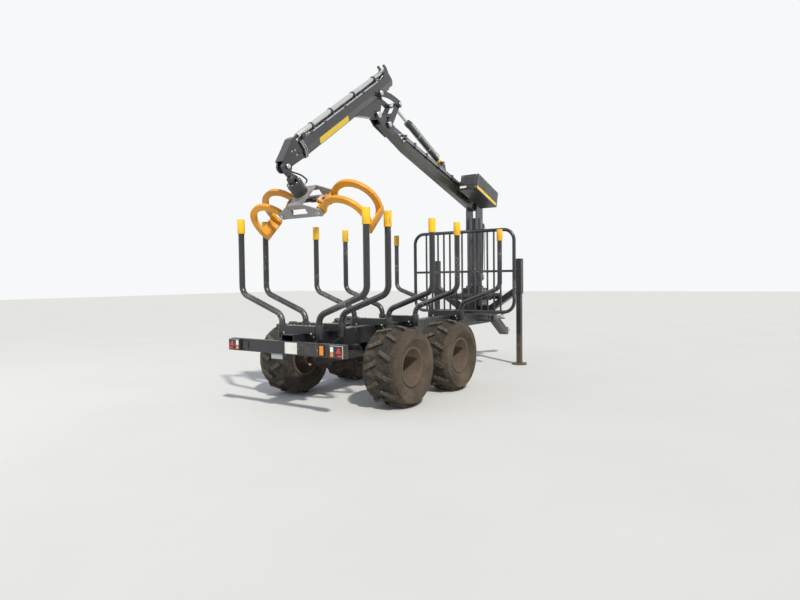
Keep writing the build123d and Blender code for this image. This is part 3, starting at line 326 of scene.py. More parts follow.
black = paint("black_paint", (0.012, 0.013, 0.019), rough=0.33, coat=0.5, dust=0.3, wear=0.4)
# The boom's paint has a painted reflection of the brown ground on its faces that look down.
boom_black = paint("boom_paint", (0.013, 0.014, 0.021), rough=0.31, coat=0.6, dust=0.3, wear=0.35, ground_reflection_share=0.75)
chassis = paint("chassis_paint", (0.011, 0.012, 0.015), rough=0.4, coat=0.25, dust=0.38, wear=0.6, mud=0.5)
rim_paint = paint("rim_paint", (0.040, 0.040, 0.043), rough=0.5, coat=0.1, dust=0.4, wear=0.4, mud=0.95,
                  mud_top=1.3)
stake_paint = paint("stake_paint", (0.009, 0.0095, 0.013), rough=0.34, coat=0.4, dust=0.22, wear=1.15,
                    worn=(0.36, 0.35, 0.34), mud=0.1)
cap_yellow = paint("cap_yellow", (0.90, 0.48, 0.002), rough=0.42, coat=0.2, dust=0.18, wear=1.15,
                   worn=(0.07, 0.06, 0.05))
claw_yellow = paint("claw_yellow", (0.78, 0.33, 0.004), rough=0.42, coat=0.2, dust=0.25, wear=1.25,
                    worn=(0.20, 0.10, 0.05))
silver = paint("silver_paint", (0.34, 0.34, 0.335), rough=0.42, coat=0.15, dust=0.35, wear=1.2,
               worn=(0.16, 0.10, 0.07), metal=0.35)
cover_dark = plastic("cover_plastic", (0.013, 0.014, 0.018), rough=0.36, coat=0.3, dust=0.22)
cover_pale = plastic("cover_panel", (0.045, 0.048, 0.056), rough=0.45, dust=0.25)
sticker = plastic("sticker_yellow", (0.95, 0.66, 0.01), rough=0.38, coat=0.2, dust=0.08)
chrome = metal("rod_chrome", (0.82, 0.82, 0.83), rough=0.09, stain=0.05)
steel = metal("bare_steel", (0.55, 0.54, 0.52), rough=0.3, stain=0.25)
silver_trim = metal("silver_trim", (0.78, 0.78, 0.78), rough=0.3, stain=0.1)
# Bright steel of the pipes and pin caps. On the extension's black-painted barrel it is a painted highlight.
bright_steel_and_sheen = metal("bright_pipe_and_sheen", (0.68, 0.68, 0.68), rough=0.22, stain=0.15)
bolt_steel = metal("bolt_steel", (0.62, 0.61, 0.58), rough=0.32, stain=0.35)
tyre_skins = {
    end: tyre_skin("tyre_rubber_" + end, pins["wheel_" + end + "_left_spin"]) for end in ("rear", "front")
}
hose_rubber = rubber("hose_rubber", (0.014, 0.014, 0.015), rough=0.5)
red_lens = plastic("red_lens", (0.62, 0.012, 0.008), rough=0.16, coat=0.7, dust=0.12)
amber_lens = plastic("amber_lens", (0.85, 0.26, 0.01), rough=0.16, coat=0.7, dust=0.12)
lamp_dark = plastic("lamp_housing", (0.018, 0.018, 0.02), rough=0.4)
clear_lens = plastic("clear_lens", (0.86, 0.86, 0.82), rough=0.12, coat=0.9, dust=0.06)
plate_pale = plastic("plate_pale", (0.80, 0.80, 0.76), rough=0.4, dust=0.22)
plate_dark = plastic("plate_dark", (0.03, 0.03, 0.034), rough=0.4, dust=0.2)
plate_grey = plastic("plate_grey", (0.42, 0.43, 0.44), rough=0.45, dust=0.3)

# Materials and soft edges of the CAD nodes
# The extension's barrel is black paint. The bright steel it gets here is a painted highlight.
node_finish = {
    "stake_caps": cap_yellow, "claw_left": claw_yellow, "claw_right": claw_yellow, "grapple_frame": silver,
    "valve_cover": cover_dark, "rear_lamps": lamp_dark, "extension_barrel": bright_steel_and_sheen, "towing_eye": steel,
}
for finish, names in (
    (boom_black, "boom stick"),
    (stake_paint, "stakes headboard"),
    (chrome, "lift_rod stick_rod grip_rod steer_rod_left steer_rod_right"),
    (chassis, "main_beam bunks bogie light_board leg_beam leg_left leg_right drawbar"),
):
    node_finish.update((name, finish) for name in names.split())
unsoftened = ("tyre", "rim", "stakes", "headboard")
finely_softened = ("claw_left", "claw_right", "grapple_frame")
edge_width, fine_edge_width = 0.0035, 0.003
weld_distance = 0.00005


def finish_of(name):
    if name.startswith("tyre"):
        return tyre_skins[name.split("_")[1]]
    if name.startswith("rim"):
        return rim_paint
    return node_finish.get(name, black)


def soften(piece, width, angle):
    """Round off the edges of a piece that turn by more than the angle."""
    bevel = piece.modifiers.new("soften", "BEVEL")
    bevel.width = width
    bevel.segments = 2
    bevel.limit_method = "ANGLE"
    bevel.angle_limit = radians(angle)


for name, node in frame["nodes"].items():
    node.data.materials.clear()
    node.data.materials.append(finish_of(name))
    for polygon in node.data.polygons:
        polygon.material_index = 0
    weld = node.modifiers.new("weld", "WELD")
    weld.merge_threshold = weld_distance
    if not name.startswith(unsoftened):
        soften(node, fine_edge_width if name in finely_softened else edge_width, angle=38)

# Mesh helpers
hex_sides = 6
pipe_sides = 12
cap_sides = 28
washer_sides = 16
bolt_sunk = 0.003
cap_sunk = 0.004
corner_steps = 4
bend_steps = 6
bend_share = 0.45
sharp_angle = radians(35)


class Shape:
    """Collects mesh work and makes one object of it."""

    def __init__(self, name, body, *materials, slot="black_paint", bevel=0.0):
        self.bm = bmesh.new()
        self.name = name
        self.body = body
        self.materials = materials
        self.finish = slot
        self.bevel = bevel
        self.index = 0

    def use(self, material):
        """The material of all faces made from here on."""
        self.index = self.materials.index(material)

    def ring(self, centre, x, y, radius, count):
        return [self.bm.verts.new(place) for place in circle(centre, x, y, radius, count)]

    def face(self, corners):
        self.bm.faces.new(corners).material_index = self.index

    def skin(self, rings):
        """Faces between each ring and the next."""
        for a, b in zip(rings, rings[1:]):
            count = len(a)
            for i in range(count):
                self.face((a[i], a[(i + 1) % count], b[(i + 1) % count], b[i]))

    def close(self, rings):
        """Both end faces of a row of rings."""
        self.face(list(reversed(rings[0])))
        self.face(rings[-1])

    def revolve(self, origin, axis, profile, count):
        """An open skin through (distance, radius) pairs about an axis."""
        axis = axis.normalized()
        x = axis.orthogonal().normalized()
        y = axis.cross(x)
        rings = [self.ring(origin + axis * d, x, y, r, count) for d, r in profile]
        self.skin(rings)
        return rings

    def lathe(self, origin, axis, profile, count):
        """A turned form, closed at both ends."""
        self.close(self.revolve(origin, axis, profile, count))

    def fitting(self, origin, axis, profile):
        """A six-sided nut or port of a pipe."""
        self.lathe(origin, axis, profile, hex_sides)

    def band(self, origin, axis, inner, outer, length, count):
        """A thin band around a cylinder, open on its inside."""
        self.revolve(origin, axis, [(0, inner), (0, outer), (length, outer), (length, inner)], count)

    def pin_cap(self, origin, axis, radius, height):
        """A domed cap with a turned rim, its foot sunk a little."""
        self.lathe(origin, axis, [
            (-cap_sunk, radius), (height * 0.35, radius), (height * 0.5, radius * 0.94),
            (height * 0.82, radius * 0.74), (height * 0.97, radius * 0.45), (height, radius * 0.12),
        ], cap_sides)

    def bolt(self, origin, axis, radius, height):
        """Washer and six-sided head with a chamfer."""
        washer_r, washer_h = radius * 1.35, height * 0.2
        washer = [(-bolt_sunk, washer_r), (washer_h, washer_r), (height * 0.25, radius * 1.25)]
        self.lathe(origin, axis, washer, washer_sides)
        head = [(washer_h, radius), (height * 0.85, radius), (height, radius * 0.86)]
        self.face(self.revolve(origin, axis, head, hex_sides)[-1])

    def block(self, centre, axes, size):
        """A box with its three sizes along the axes."""
        x, y, z = (axis.normalized() * length / 2 for axis, length in zip(axes, size))
        ends = (-1, 1)
        v = [self.bm.verts.new(centre + x * a + y * b + z * c) for a in ends for b in ends for c in ends]
        for quad in ((0, 1, 3, 2), (4, 6, 7, 5), (0, 4, 5, 1), (2, 3, 7, 6), (0, 2, 6, 4), (1, 5, 7, 3)):
            self.face([v[i] for i in quad])

    def slab(self, points, offset):
        """A flat outline thickened along one vector."""
        sides = [[self.bm.verts.new(p + rise) for p in points] for rise in (Vector(), offset)]
        self.skin(sides)
        self.close(sides)

    def plate(self, centre, x, y, out, width, height, thick, corner):
        """A thin plate with round corners."""
        points = []
        for sx, sy, turn in ((1, 1, 0), (-1, 1, 90), (-1, -1, 180), (1, -1, 270)):
            middle = centre + x * sx * (width / 2 - corner) + y * sy * (height / 2 - corner)
            for k in range(corner_steps + 1):
                a = radians(turn + 90 / corner_steps * k)
                points.append(middle + (x * cos(a) + y * sin(a)) * corner)
        self.slab(points, out * thick)

    def tube(self, points, radius, bend):
        """A pipe along straight runs, with its corners bent round."""
        path = round_path(points, bend)
        rings = []
        up = None
        for i, p in enumerate(path):
            way = direction(path[max(i - 1, 0)], path[min(i + 1, len(path) - 1)])
            up = (up - way * up.dot(way)).normalized() if up else way.orthogonal().normalized()
            rings.append(self.ring(p, up, way.cross(up), radius, pipe_sides))
        self.skin(rings)
        self.close(rings)

    def make(self):
        bmesh.ops.recalc_face_normals(self.bm, faces=self.bm.faces)
        for face in self.bm.faces:
            face.smooth = True
        for edge in self.bm.edges:
            if len(edge.link_faces) == 2 and edge.calc_face_angle(0) > sharp_angle:
                edge.smooth = False
        mesh = bpy.data.meshes.new(self.name)
        self.bm.to_mesh(mesh)
        self.bm.free()
        piece = bpy.data.objects.new(self.name, mesh)
        bpy.context.scene.collection.objects.link(piece)
        for material in self.materials:
            mesh.materials.append(material)
        if self.bevel:
            soften(piece, self.bevel, angle=40)
        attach(piece, self.body)
        return piece


def round_path(points, radius):
    """Points of a path whose corners are turned into short curves."""
    out = [points[0]]
    for before, corner, after in zip(points, points[1:], points[2:]):
        legs = (before - corner, after - corner)
        reach = min(radius, *(leg.length * bend_share for leg in legs))
        start, end = (corner + leg.normalized() * reach for leg in legs)
        for i in range(bend_steps + 1):
            k = i / bend_steps
            out.append(start * (1 - k) ** 2 + corner * 2 * k * (1 - k) + end * k * k)
    out.append(points[-1])
    return out


# Camera at the photograph's viewpoint
eye = Vector((-8.124, -4.817, 1.567))
yaw, pitch, roll = radians(33.45), radians(-2.01), radians(-0.64)
ahead = Vector((cos(pitch) * cos(yaw), cos(pitch) * sin(yaw), sin(pitch)))
level_right = Vector((sin(yaw), -cos(yaw), 0))
level_above = level_right.cross(ahead)
right = level_right * cos(roll) + level_above * sin(roll)
above = level_above * cos(roll) - level_right * sin(roll)
camera_data = bpy.data.cameras.new("camera")
camera_data.lens = 25.85
camera_data.sensor_width = 36
camera = bpy.data.objects.new("camera", camera_data)
bpy.context.scene.collection.objects.link(camera)
camera.matrix_world = Matrix.Translation(eye) @ Matrix((right, above, -ahead)).transposed().to_4x4()
bpy.context.scene.camera = camera

# Pale floor
floor_half = 60
floor_z = -0.002
floor_corners = [(x * floor_half, y * floor_half, floor_z) for x, y in ((-1, -1), (1, -1), (1, 1), (-1, 1))]
floor_mesh = bpy.data.meshes.new("floor")
floor_mesh.from_pydata(floor_corners, [], [(0, 1, 2, 3)])
floor = bpy.data.objects.new("floor", floor_mesh)
bpy.context.scene.collection.objects.link(floor)
floor_look = Nodes("floor")
floor_look.bsdf.inputs["Roughness"].default_value = 0.9
floor_tone = floor_look.mix(floor_look.noise(0.6, detail=3), (0.60, 0.60, 0.59), (0.66, 0.66, 0.65))
floor_look.join(floor_tone, floor_look.bsdf.inputs["Base Color"])
floor_mesh.materials.append(floor_look.mat)

# World: soft blue light on the object, white to the camera, in reflections and through glass
world = bpy.data.worlds.new("world")
bpy.context.scene.world = world
world.use_nodes = True
world_nodes = world.node_tree.nodes
world_join = world.node_tree.links.new
background = world_nodes["Background"]
background.inputs["Color"].default_value = (0.80, 0.86, 0.95, 1)
background.inputs["Strength"].default_value = 0.5
plain = world_nodes.new("ShaderNodeBackground")
plain.inputs["Color"].default_value = (0.93, 0.94, 0.95, 1)
plain.inputs["Strength"].default_value = 1.0
rays = world_nodes.new("ShaderNodeLightPath")
choose = world_nodes.new("ShaderNodeMixShader")
seen = rays.outputs["Is Camera Ray"]
for kind in ("Is Glossy Ray", "Is Transmission Ray"):
    either = world_nodes.new("ShaderNodeMath")
    either.operation = "MAXIMUM"
    world_join(seen, either.inputs[0])
    world_join(rays.outputs[kind], either.inputs[1])
    seen = either.outputs[0]
world_join(seen, choose.inputs["Fac"])
world_join(background.outputs[0], choose.inputs[1])
world_join(plain.outputs[0], choose.inputs[2])
world_join(choose.outputs[0], world_nodes["World Output"].inputs["Surface"])


def lamp(name, data, place, target, energy, colour):
    """Put a light in place, turned to its target."""
    data.energy = energy
    data.color = colour
    lamp_object = bpy.data.objects.new(name, data)
    bpy.context.scene.collection.objects.link(lamp_object)
    lamp_object.location = place
    lamp_object.rotation_euler = (Vector(target) - Vector(place)).to_track_quat("-Z", "Y").to_euler()


sun = bpy.data.lights.new("sun", "SUN")
sun.angle = radians(3.0)
lamp("sun", sun, place=(-6, -9, 12), target=(0, 0, 1), energy=3.4, colour=(1.0, 0.96, 0.88))
fill = bpy.data.lights.new("fill", "AREA")
fill.size = 5.0
lamp("fill", fill, place=(-9, 6, 6), target=(-1, 0, 2), energy=180, colour=(0.85, 0.92, 1.0))
bpy.context.scene.view_settings.view_transform = "Standard"

# Finding places on the CAD surfaces
surfaces = {}
beside_crane = 0.6


def touch(node, start, way):
    """Where a line from start first meets a CAD node, or start itself where it meets nothing."""
    if node not in surfaces:
        data = frame["nodes"][node].data
        corners = [vertex.co for vertex in data.vertices]
        faces = [polygon.vertices[:] for polygon in data.polygons]
        surfaces[node] = BVHTree.FromPolygons(corners, faces)
    found = surfaces[node].ray_cast(Vector(start), Vector(way).normalized())[0]
    return found if found else Vector(start)


def touch_side(node, place, side, reach=beside_crane):
    """Where a line from one side, at y = side * reach, first meets a CAD node beside the place."""
    return touch(node, (place.x, side * reach, place.z), across * -side)


def side_caps(shape, node, centre, radius, height):
    """A cap on both ends of a pin that lies across the crane."""
    for side in (-1, 1):
        shape.pin_cap(touch_side(node, centre, side), across * side, radius, height)


def side_bolts(shape, node, places, radius, height):
    """Bolts at the same places on both sides of the crane."""
    for side in (-1, 1):
        for place in places:
            shape.bolt(touch_side(node, place, side), across * side, radius, height)


# Pin caps and bolts of the crane
caps = Shape("boom_pin_caps", "boom_body", bright_steel_and_sheen, slot="bare_steel")
side_caps(caps, "boom", pins["rocker_turn"], radius=0.040, height=0.016)
side_caps(caps, "boom", elbow, radius=0.047, height=0.020)
side_caps(caps, "boom", pins["stick_barrel_turn"], radius=0.019, height=0.010)
caps.make()

caps = Shape("column_pin_caps", "column_body", bright_steel_and_sheen, slot="bare_steel")
side_caps(caps, "column", pivot, radius=0.038, height=0.018)
side_caps(caps, "column", pins["lift_barrel_turn"], radius=0.024, height=0.012)
pivot_bolts = circle(pivot, -rear, upward, 0.058, 6)
side_bolts(caps, "column", pivot_bolts, radius=0.008, height=0.007)
caps.make()

caps = Shape("stick_pin_caps", "stick_body", bright_steel_and_sheen, slot="bare_steel")
side_caps(caps, "stick", pins["link_turn"], radius=0.036, height=0.018)
head_bolt_pitch = 24
head_bolts = [
    stick(a, lowest + head_bolt_pitch * k) for a in (1674, 1706) for lowest in (292, 190) for k in range(4)
]
side_bolts(caps, "stick", head_bolts, radius=0.007, height=0.007)
caps.make()

caps = Shape("rocker_pin_caps", "rocker_body", bright_steel_and_sheen, slot="bare_steel")
side_caps(caps, "link", knee, radius=0.024, height=0.012)
caps.make()

caps = Shape("tip_pin_caps", "extension_body", bright_steel_and_sheen, slot="bare_steel")
side_caps(caps, "extension", tip, radius=0.030, height=0.014)
tip_bolts = [stick(1850, 270), stick(1850, 330), stick(1905, 340)]
side_bolts(caps, "extension", tip_bolts, radius=0.008, height=0.008)
caps.make()

# Pipes along the boom's near upper edge, with clips
pipe_r = 0.0085
top_at_pivot, top_at_elbow = 122, 35
pipe_drops = (20, 42, 64)
pipe_outs = (76, 80, 84)
clip_places = (330, 700, 1080, 1560, 1960, 2330, 2600)
pipe_nut = [(0, 0.012), (0.014, 0.0125), (0.016, 0.0145), (0.036, 0.0145), (0.040, 0.011)]


def boom_top(s):
    """Height of the boom's tapered top edge over its line."""
    return top_at_pivot + (top_at_elbow - top_at_pivot) * s / boom_len


def boom_pipe(row, drop, out):
    """One pipe: it rises from the pivot, runs under the top edge and dips at the elbow."""
    start, end = 190 + 30 * row, 2700 - 60 * row
    return [
        boom(start, boom_top(200) - drop - 30, -out - 3),
        boom(start + 70, boom_top(300) - drop, -out),
        *(boom(s, boom_top(s) - drop, -out) for s in (900, 1700, end - 60)),
        boom(end, boom_top(end) - drop - 12, -out - 2),
        boom(end + 50, boom_top(end) - drop - 55, -out),
    ]


pipes = Shape("boom_pipes", "boom_body", steel, black, bolt_steel, slot="bare_steel")
for row, (drop, out_by) in enumerate(zip(pipe_drops, pipe_outs)):
    path = boom_pipe(row, drop, out_by)
    pipes.use(steel)
    pipes.tube(path, pipe_r, bend=0.05)
    pipes.use(bolt_steel)
    for tail, inner in ((path[0], path[1]), (path[-1], path[-2])):
        way = direction(inner, tail)
        pipes.fitting(tail - way * 0.012, way, pipe_nut)
for s in clip_places:
    pipes.use(black)
    pipes.block(boom(s, boom_top(s) - pipe_drops[1], -84), boom_axes, (0.034, 0.078, 0.030))
    pipes.use(bolt_steel)
    for drop in pipe_drops[:2]:
        pipes.bolt(boom(s, boom_top(s) - drop, -99), -across, radius=0.0065, height=0.006)
pipes.make()

# Pipes on the stick's top face, with clamps
top_t = 371
over_top, ends_over_top = top_t + 8, top_t + 26
stick_nut = [(-0.014, 0.010), (0, 0.0115), (0.012, 0.0115), (0.014, 0.009)]
pipes = Shape("stick_pipes", "stick_body", bright_steel_and_sheen, black, bolt_steel, slot="bare_steel")
for side in (-1, 1):
    for row in (0, 1):
        y = side * (44 + 14 * row)
        start, end = -440 + 40 * row, 1540 - 30 * row
        pipes.use(bright_steel_and_sheen)
        pipes.tube([
            stick(start, ends_over_top, y), stick(start + 60, over_top, y), stick(500, over_top, y),
            stick(end - 60, over_top, y), stick(end, ends_over_top, y),
        ], 0.0065, bend=0.04)
        pipes.use(bolt_steel)
        for a in (start - 5, end - 4):
            pipes.fitting(stick(a, ends_over_top, y), stick_x, stick_nut)
    for a in (-300, 150, 640, 1130, 1440):
        pipes.use(black)
        pipes.block(stick(a, over_top, side * 53), stick_axes, (0.030, 0.022, 0.036))
        pipes.use(bolt_steel)
        pipes.bolt(stick(a, top_t + 19, side * 53), stick_y, radius=0.006, height=0.005)
pipes.make()

# Clamps that hold the extension's cylinder on the stick, their length in mm
barrel_t = 430
clamp_length = 28
clamps = Shape("stick_cylinder_clamps", "stick_body", black, bolt_steel, slot="black_paint")
for a in (-250, 330, 900, 1350):
    clamps.use(black)
    clamps.band(stick(a - clamp_length / 2, barrel_t), stick_x, 0.0361, 0.0415, clamp_length * mm, count=32)
    for side in (-1, 1):
        clamps.use(black)
        clamps.block(stick(a, 402, side * 43), stick_axes, (clamp_length * mm, 0.062, 0.010))
        clamps.use(bolt_steel)
        clamps.bolt(stick(a, 388, side * 48), across * side, radius=0.0065, height=0.006)
clamps.make()

# Blank sticker on the stick's lower near facet
sticker_a = 1020
facet_top, facet_foot = (276, -75), (181, -43)
facet_y = direction(stick(0, *facet_foot), stick(0, *facet_top))
facet_out = stick_x.cross(facet_y).normalized()
if facet_out.y > 0:
    facet_out = -facet_out
middle = (stick(sticker_a, *facet_top) + stick(sticker_a, *facet_foot)) / 2 + facet_out * 0.0006
label = Shape("stick_sticker", "stick_body", sticker, slot="yellow_paint")
label.plate(middle, stick_x, facet_y, facet_out, width=0.700, height=0.080, thick=0.0010, corner=0.012)
label.make()

# Valve cover: rear panel with slats, seams, lid, bolts and stripe
cover_y = -338
near_face = -500
rear_face = 930
panel_t = 38
cover = Shape("cover_panel", "boom_body", cover_pale, cover_dark, slot="cover_plastic", bevel=0.003)
cover.block(boom(rear_face + 1, panel_t, cover_y), boom_axes, (0.010, 0.150, 0.262))
cover.use(cover_dark)
for rise in (-45, -15, 15, 45):
    cover.block(boom(rear_face + 6, panel_t + rise, cover_y), boom_axes, (0.006, 0.010, 0.200))
for s in (300, 620):
    cover.block(boom(s, 6, near_face - 1), boom_axes, (0.006, 0.215, 0.005))
cover.block(boom(500, 151, cover_y), boom_axes, (0.780, 0.006, 0.250))
cover.make()

cover = Shape("cover_bolts", "boom_body", bolt_steel, slot="bare_steel")
for s in (110, 250, 350, 570, 670, 890):
    for t in (-92, 125):
        cover.bolt(boom(s, t, near_face), -across, radius=0.008, height=0.006)
for y in (-470, -206):
    for t in (-96, 128):
        cover.bolt(boom(rear_face, t, y), boom_x, radius=0.008, height=0.006)
cover.make()

stripe = Shape("cover_stripe", "boom_body", sticker, slot="yellow_paint")
middle = boom(520, -88, near_face + 0.5)
stripe.plate(middle, boom_x, boom_y, -across, width=0.800, height=0.046, thick=0.0018, corner=0.006)
stripe.make()

# Work lamp under the cover's rear panel
lamp_t, lamp_side = -92, -252
light = Shape("work_lamp", "boom_body", lamp_dark, clear_lens, bolt_steel, slot="lamp", bevel=0.002)
light.block(boom(936, lamp_t, lamp_side), boom_axes, (0.030, 0.058, 0.142))
light.block(boom(950, lamp_t, lamp_side), boom_axes, (0.010, 0.050, 0.134))
light.use(clear_lens)
light.block(boom(954, lamp_t, lamp_side), boom_axes, (0.008, 0.040, 0.122))
light.use(bolt_steel)
for offset in (-60, 60):
    light.bolt(boom(951, lamp_t, lamp_side + offset), boom_x, radius=0.005, height=0.004)
light.make()

# Stick cylinder: pipe along the barrel, ports, bands and its yellow end
foot = pins["stick_barrel_turn"]
way = direction(foot, knee)
lift = across.cross(way)
if lift.z < 0:
    lift = -lift
port_r = 0.015
ports_along = (0.10, 1.115)
port = [(0, port_r), (0.016, port_r), (0.020, port_r * 0.8), (0.030, port_r * 0.8)]
barrel_r = 0.0472
run_rise, run_side = 0.050, 0.038
pipes = Shape("stick_cylinder_pipe", "stick_barrel_body", bright_steel_and_sheen, bolt_steel, sticker, slot="bare_steel")
pipes.tube([foot + way * along + lift * rise - across * side for along, rise, side in (
    (ports_along[0], 0.046, 0.012), (ports_along[0], 0.075, 0.012), (0.16, 0.075, 0.030),
    (0.24, run_rise, run_side), (0.60, run_rise, run_side), (1.06, run_rise, run_side),
    (1.09, 0.070, 0.020), (ports_along[1], 0.050, 0),
)], pipe_r, bend=0.03)
pipes.use(bolt_steel)
for along in ports_along:
    pipes.fitting(foot + way * along + lift * 0.038, lift, port)
for along in (0.442, 0.792):
    pipes.band(foot + way * along, way, barrel_r, 0.0500, length=0.016, count=32)
pipes.use(sticker)
pipes.band(foot + way * 0.085, way, barrel_r, 0.0480, length=0.060, count=36)
pipes.make()

# Lift cylinder: pipe and ports
lever_len, lever_a = 360, radians(141)
foot = pins["lift_barrel_turn"]
way = direction(foot, boom(lever_len * cos(lever_a), lever_len * sin(lever_a)))
side_way = Vector((0.55, -0.83, 0)).normalized()
side_way = (side_way - way * side_way.dot(way)).normalized()
lift_port = [(0, 0.016), (0.020, 0.016), (0.026, 0.012)]
pipes = Shape("lift_cylinder_pipe", "lift_barrel_body", steel, bolt_steel, slot="bare_steel")
pipes.tube([foot + way * along + side_way * out_by for along, out_by in (
    (0.12, 0.05), (0.12, 0.078), (0.5, 0.072), (0.94, 0.078), (0.99, 0.055),
)], 0.009, bend=0.03)
pipes.use(bolt_steel)
for along in (0.12, 0.985):
    pipes.fitting(foot + way * along + side_way * 0.046, side_way, lift_port)
pipes.make()

# Light board: housings of the rear lamps, less deep than the CAD's by the room for their lenses
behind = -4
board_z = 0.79
lamp_y, lamp_z = 0.817, 0.791
lens_room = 0.002
lamp_face = touch("rear_lamps", (behind, -lamp_y, board_z), -rear).x
board_face = touch("light_board", (behind, 0, board_z), -rear).x
housing_x = (lamp_face + lens_room + board_face) / 2
housing_size = (board_face - lamp_face - lens_room, 0.190, 0.140)
housing = Shape("rear_lamp_housings", "frame", lamp_dark, slot="lamp", bevel=0.004)
for side in (-1, 1):
    housing.block(Vector((housing_x, side * lamp_y, lamp_z)), board_axes, housing_size)
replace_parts(housing.make(), "rear_lamps")

# Lenses: each has its offset outward, rise, width, height and material
lenses = (
    (0.052, -0.044, 0.062, 0.022, red_lens),
    (-0.060, -0.034, 0.044, 0.040, amber_lens),
    (-0.060, 0.024, 0.044, 0.058, clear_lens),
)
rim_x = lamp_face + 0.0045
trim = Shape(
    "rear_lamp_lenses", "frame", red_lens, amber_lens, clear_lens, silver_trim, slot="lamp", bevel=0.001)
for side in (-1, 1):
    for offset, rise, width, height, lens in lenses:
        centre = Vector((lamp_face + 0.0016, side * (lamp_y + offset), lamp_z + rise))
        trim.use(lens)
        trim.block(centre, board_axes, (0.002, width, height))
    centre = Vector((lamp_face + 0.0026, side * (lamp_y + 0.034), lamp_z + 0.009))
    trim.use(red_lens)
    trim.slab(circle(centre, across, upward, 0.047, 3, start=0.75), rear * 0.0020)
    trim.use(silver_trim)
    trim.block(Vector((rim_x, side * (lamp_y + 0.092), lamp_z)), board_axes, (0.008, 0.006, 0.138))
    trim.block(Vector((rim_x, side * lamp_y, lamp_z + 0.066)), board_axes, (0.008, 0.180, 0.005))
trim.make()

# Blank plates, the grey one hung below the board
plate_z = 0.792
plates = Shape(
    "rear_plates", "frame", plate_pale, plate_dark, plate_grey, bolt_steel, slot="lamp", bevel=0.0015)
for finish, y, width, height in ((plate_pale, -0.115, 0.19, 0.132), (plate_dark, -0.375, 0.32, 0.125)):
    plates.use(finish)
    plates.block(Vector((board_face - 0.001, y, plate_z)), board_axes, (0.006, width, height))
    plates.use(bolt_steel)
    for side in (-1, 1):
        bolt_y = y + side * (width / 2 - 0.014)
        plates.bolt(Vector((board_face - 0.004, bolt_y, plate_z)), rear, radius=0.0045, height=0.003)
grey_y = 0.13
plates.use(plate_grey)
plates.block(Vector((board_face + 0.016, grey_y, 0.688)), board_axes, (0.005, 0.18, 0.075))
for side in (-1, 1):
    plates.block(Vector((board_face + 0.020, grey_y + side * 0.07, 0.715)), board_axes, (0.004, 0.020, 0.050))
plates.make()

# Amber lamp, and the dark bracket on the board's other half
amber_y, bracket_y = -0.590, 0.640
amber = Shape("amber_lamp", "frame", amber_lens, lamp_dark, slot="lamp", bevel=0.002)
amber.use(lamp_dark)
amber.block(Vector((board_face - 0.003, amber_y, plate_z)), board_axes, (0.012, 0.066, 0.118))
amber.use(amber_lens)
amber.block(Vector((board_face - 0.012, amber_y, plate_z)), board_axes, (0.010, 0.052, 0.102))
amber.use(lamp_dark)
amber.block(Vector((board_face - 0.003, bracket_y, plate_z)), board_axes, (0.012, 0.090, 0.090))
for offset in (0.035, -0.035):
    amber.bolt(Vector((board_face - 0.008, bracket_y + offset, plate_z)), rear, radius=0.006, height=0.004)
amber.make()

# Wheel nuts and hub caps
nut_circle = 0.118
off_axle = Vector((0.03, 0, 0))
beside_wheel = 1.4
for name in ("rear_left", "rear_right", "front_left", "front_right"):
    side = 1 if name.endswith("left") else -1
    hub = pins["wheel_" + name + "_spin"]
    nuts = Shape("wheel_nuts_" + name, "wheel_" + name, bolt_steel, rim_paint, slot="bare_steel")
    for place in circle(hub, -rear, upward, nut_circle, 8, start=0.5):
        spot = touch_side("rim_" + name, place, side, beside_wheel)
        nuts.bolt(spot, across * side, radius=0.0135, height=0.020)
    face = touch_side("rim_" + name, hub + off_axle, side, beside_wheel)
    nuts.use(rim_paint)
    nuts.pin_cap(Vector((hub.x, face.y, hub.z)), across * side, radius=0.060, height=0.030)
    nuts.make()

# Bolts on top of the bunks and behind them, left out where the line finds no bunk
above_bunks, bunk_top_limit = 1.6, 1.2
behind_bunk, bunk_half_limit = 0.5, 0.12
rear_bolt_y = 0.22
fixings = Shape("bunk_bolts", "frame", bolt_steel, slot="bare_steel")
for bunk_ahead in (0, 420, 1440, 2140, 3620):
    bunk_x = at(bunk_ahead)
    for y in (-0.125, 0.125, -0.30, 0.30):
        for offset in (-0.032, 0.032):
            spot = touch("bunks", (bunk_x + offset, y, above_bunks), -upward)
            if spot.z < bunk_top_limit:
                fixings.bolt(spot, upward, radius=0.011, height=0.010)
    for side in (-1, 1):
        for z in (0.90, 0.94):
            spot = touch("bunks", (bunk_x - behind_bunk, side * rear_bolt_y, z), -rear)
            if abs(spot.x - bunk_x) < bunk_half_limit:
                fixings.bolt(spot, rear, radius=0.010, height=0.008)
fixings.make()

# Bolts of the slewing tubes' end covers and of the housing's top
beside_housing, tube_side_limit = 0.9, 0.5
over_housing, housing_top_low, housing_top_high = 2.2, 1.2, 1.5
housing_circle = 0.160
fixings = Shape("crane_base_bolts", "frame", bolt_steel, slot="bare_steel")
for side in (-1, 1):
    for z in (1.10, 1.34):
        for offset in (-0.14, -0.06, 0.06, 0.14):
            spot = touch_side("crane_base", Vector((mast.x + offset, 0, z)), side, beside_housing)
            if abs(spot.y) < tube_side_limit:
                fixings.bolt(spot, across * side, radius=0.012, height=0.010)
for place in circle(Vector((mast.x, 0, over_housing)), -rear, across, housing_circle, 12):
    spot = touch("crane_base", place, -upward)
    if housing_top_low < spot.z < housing_top_high:
        fixings.bolt(spot, upward, radius=0.010, height=0.010)
fixings.make()

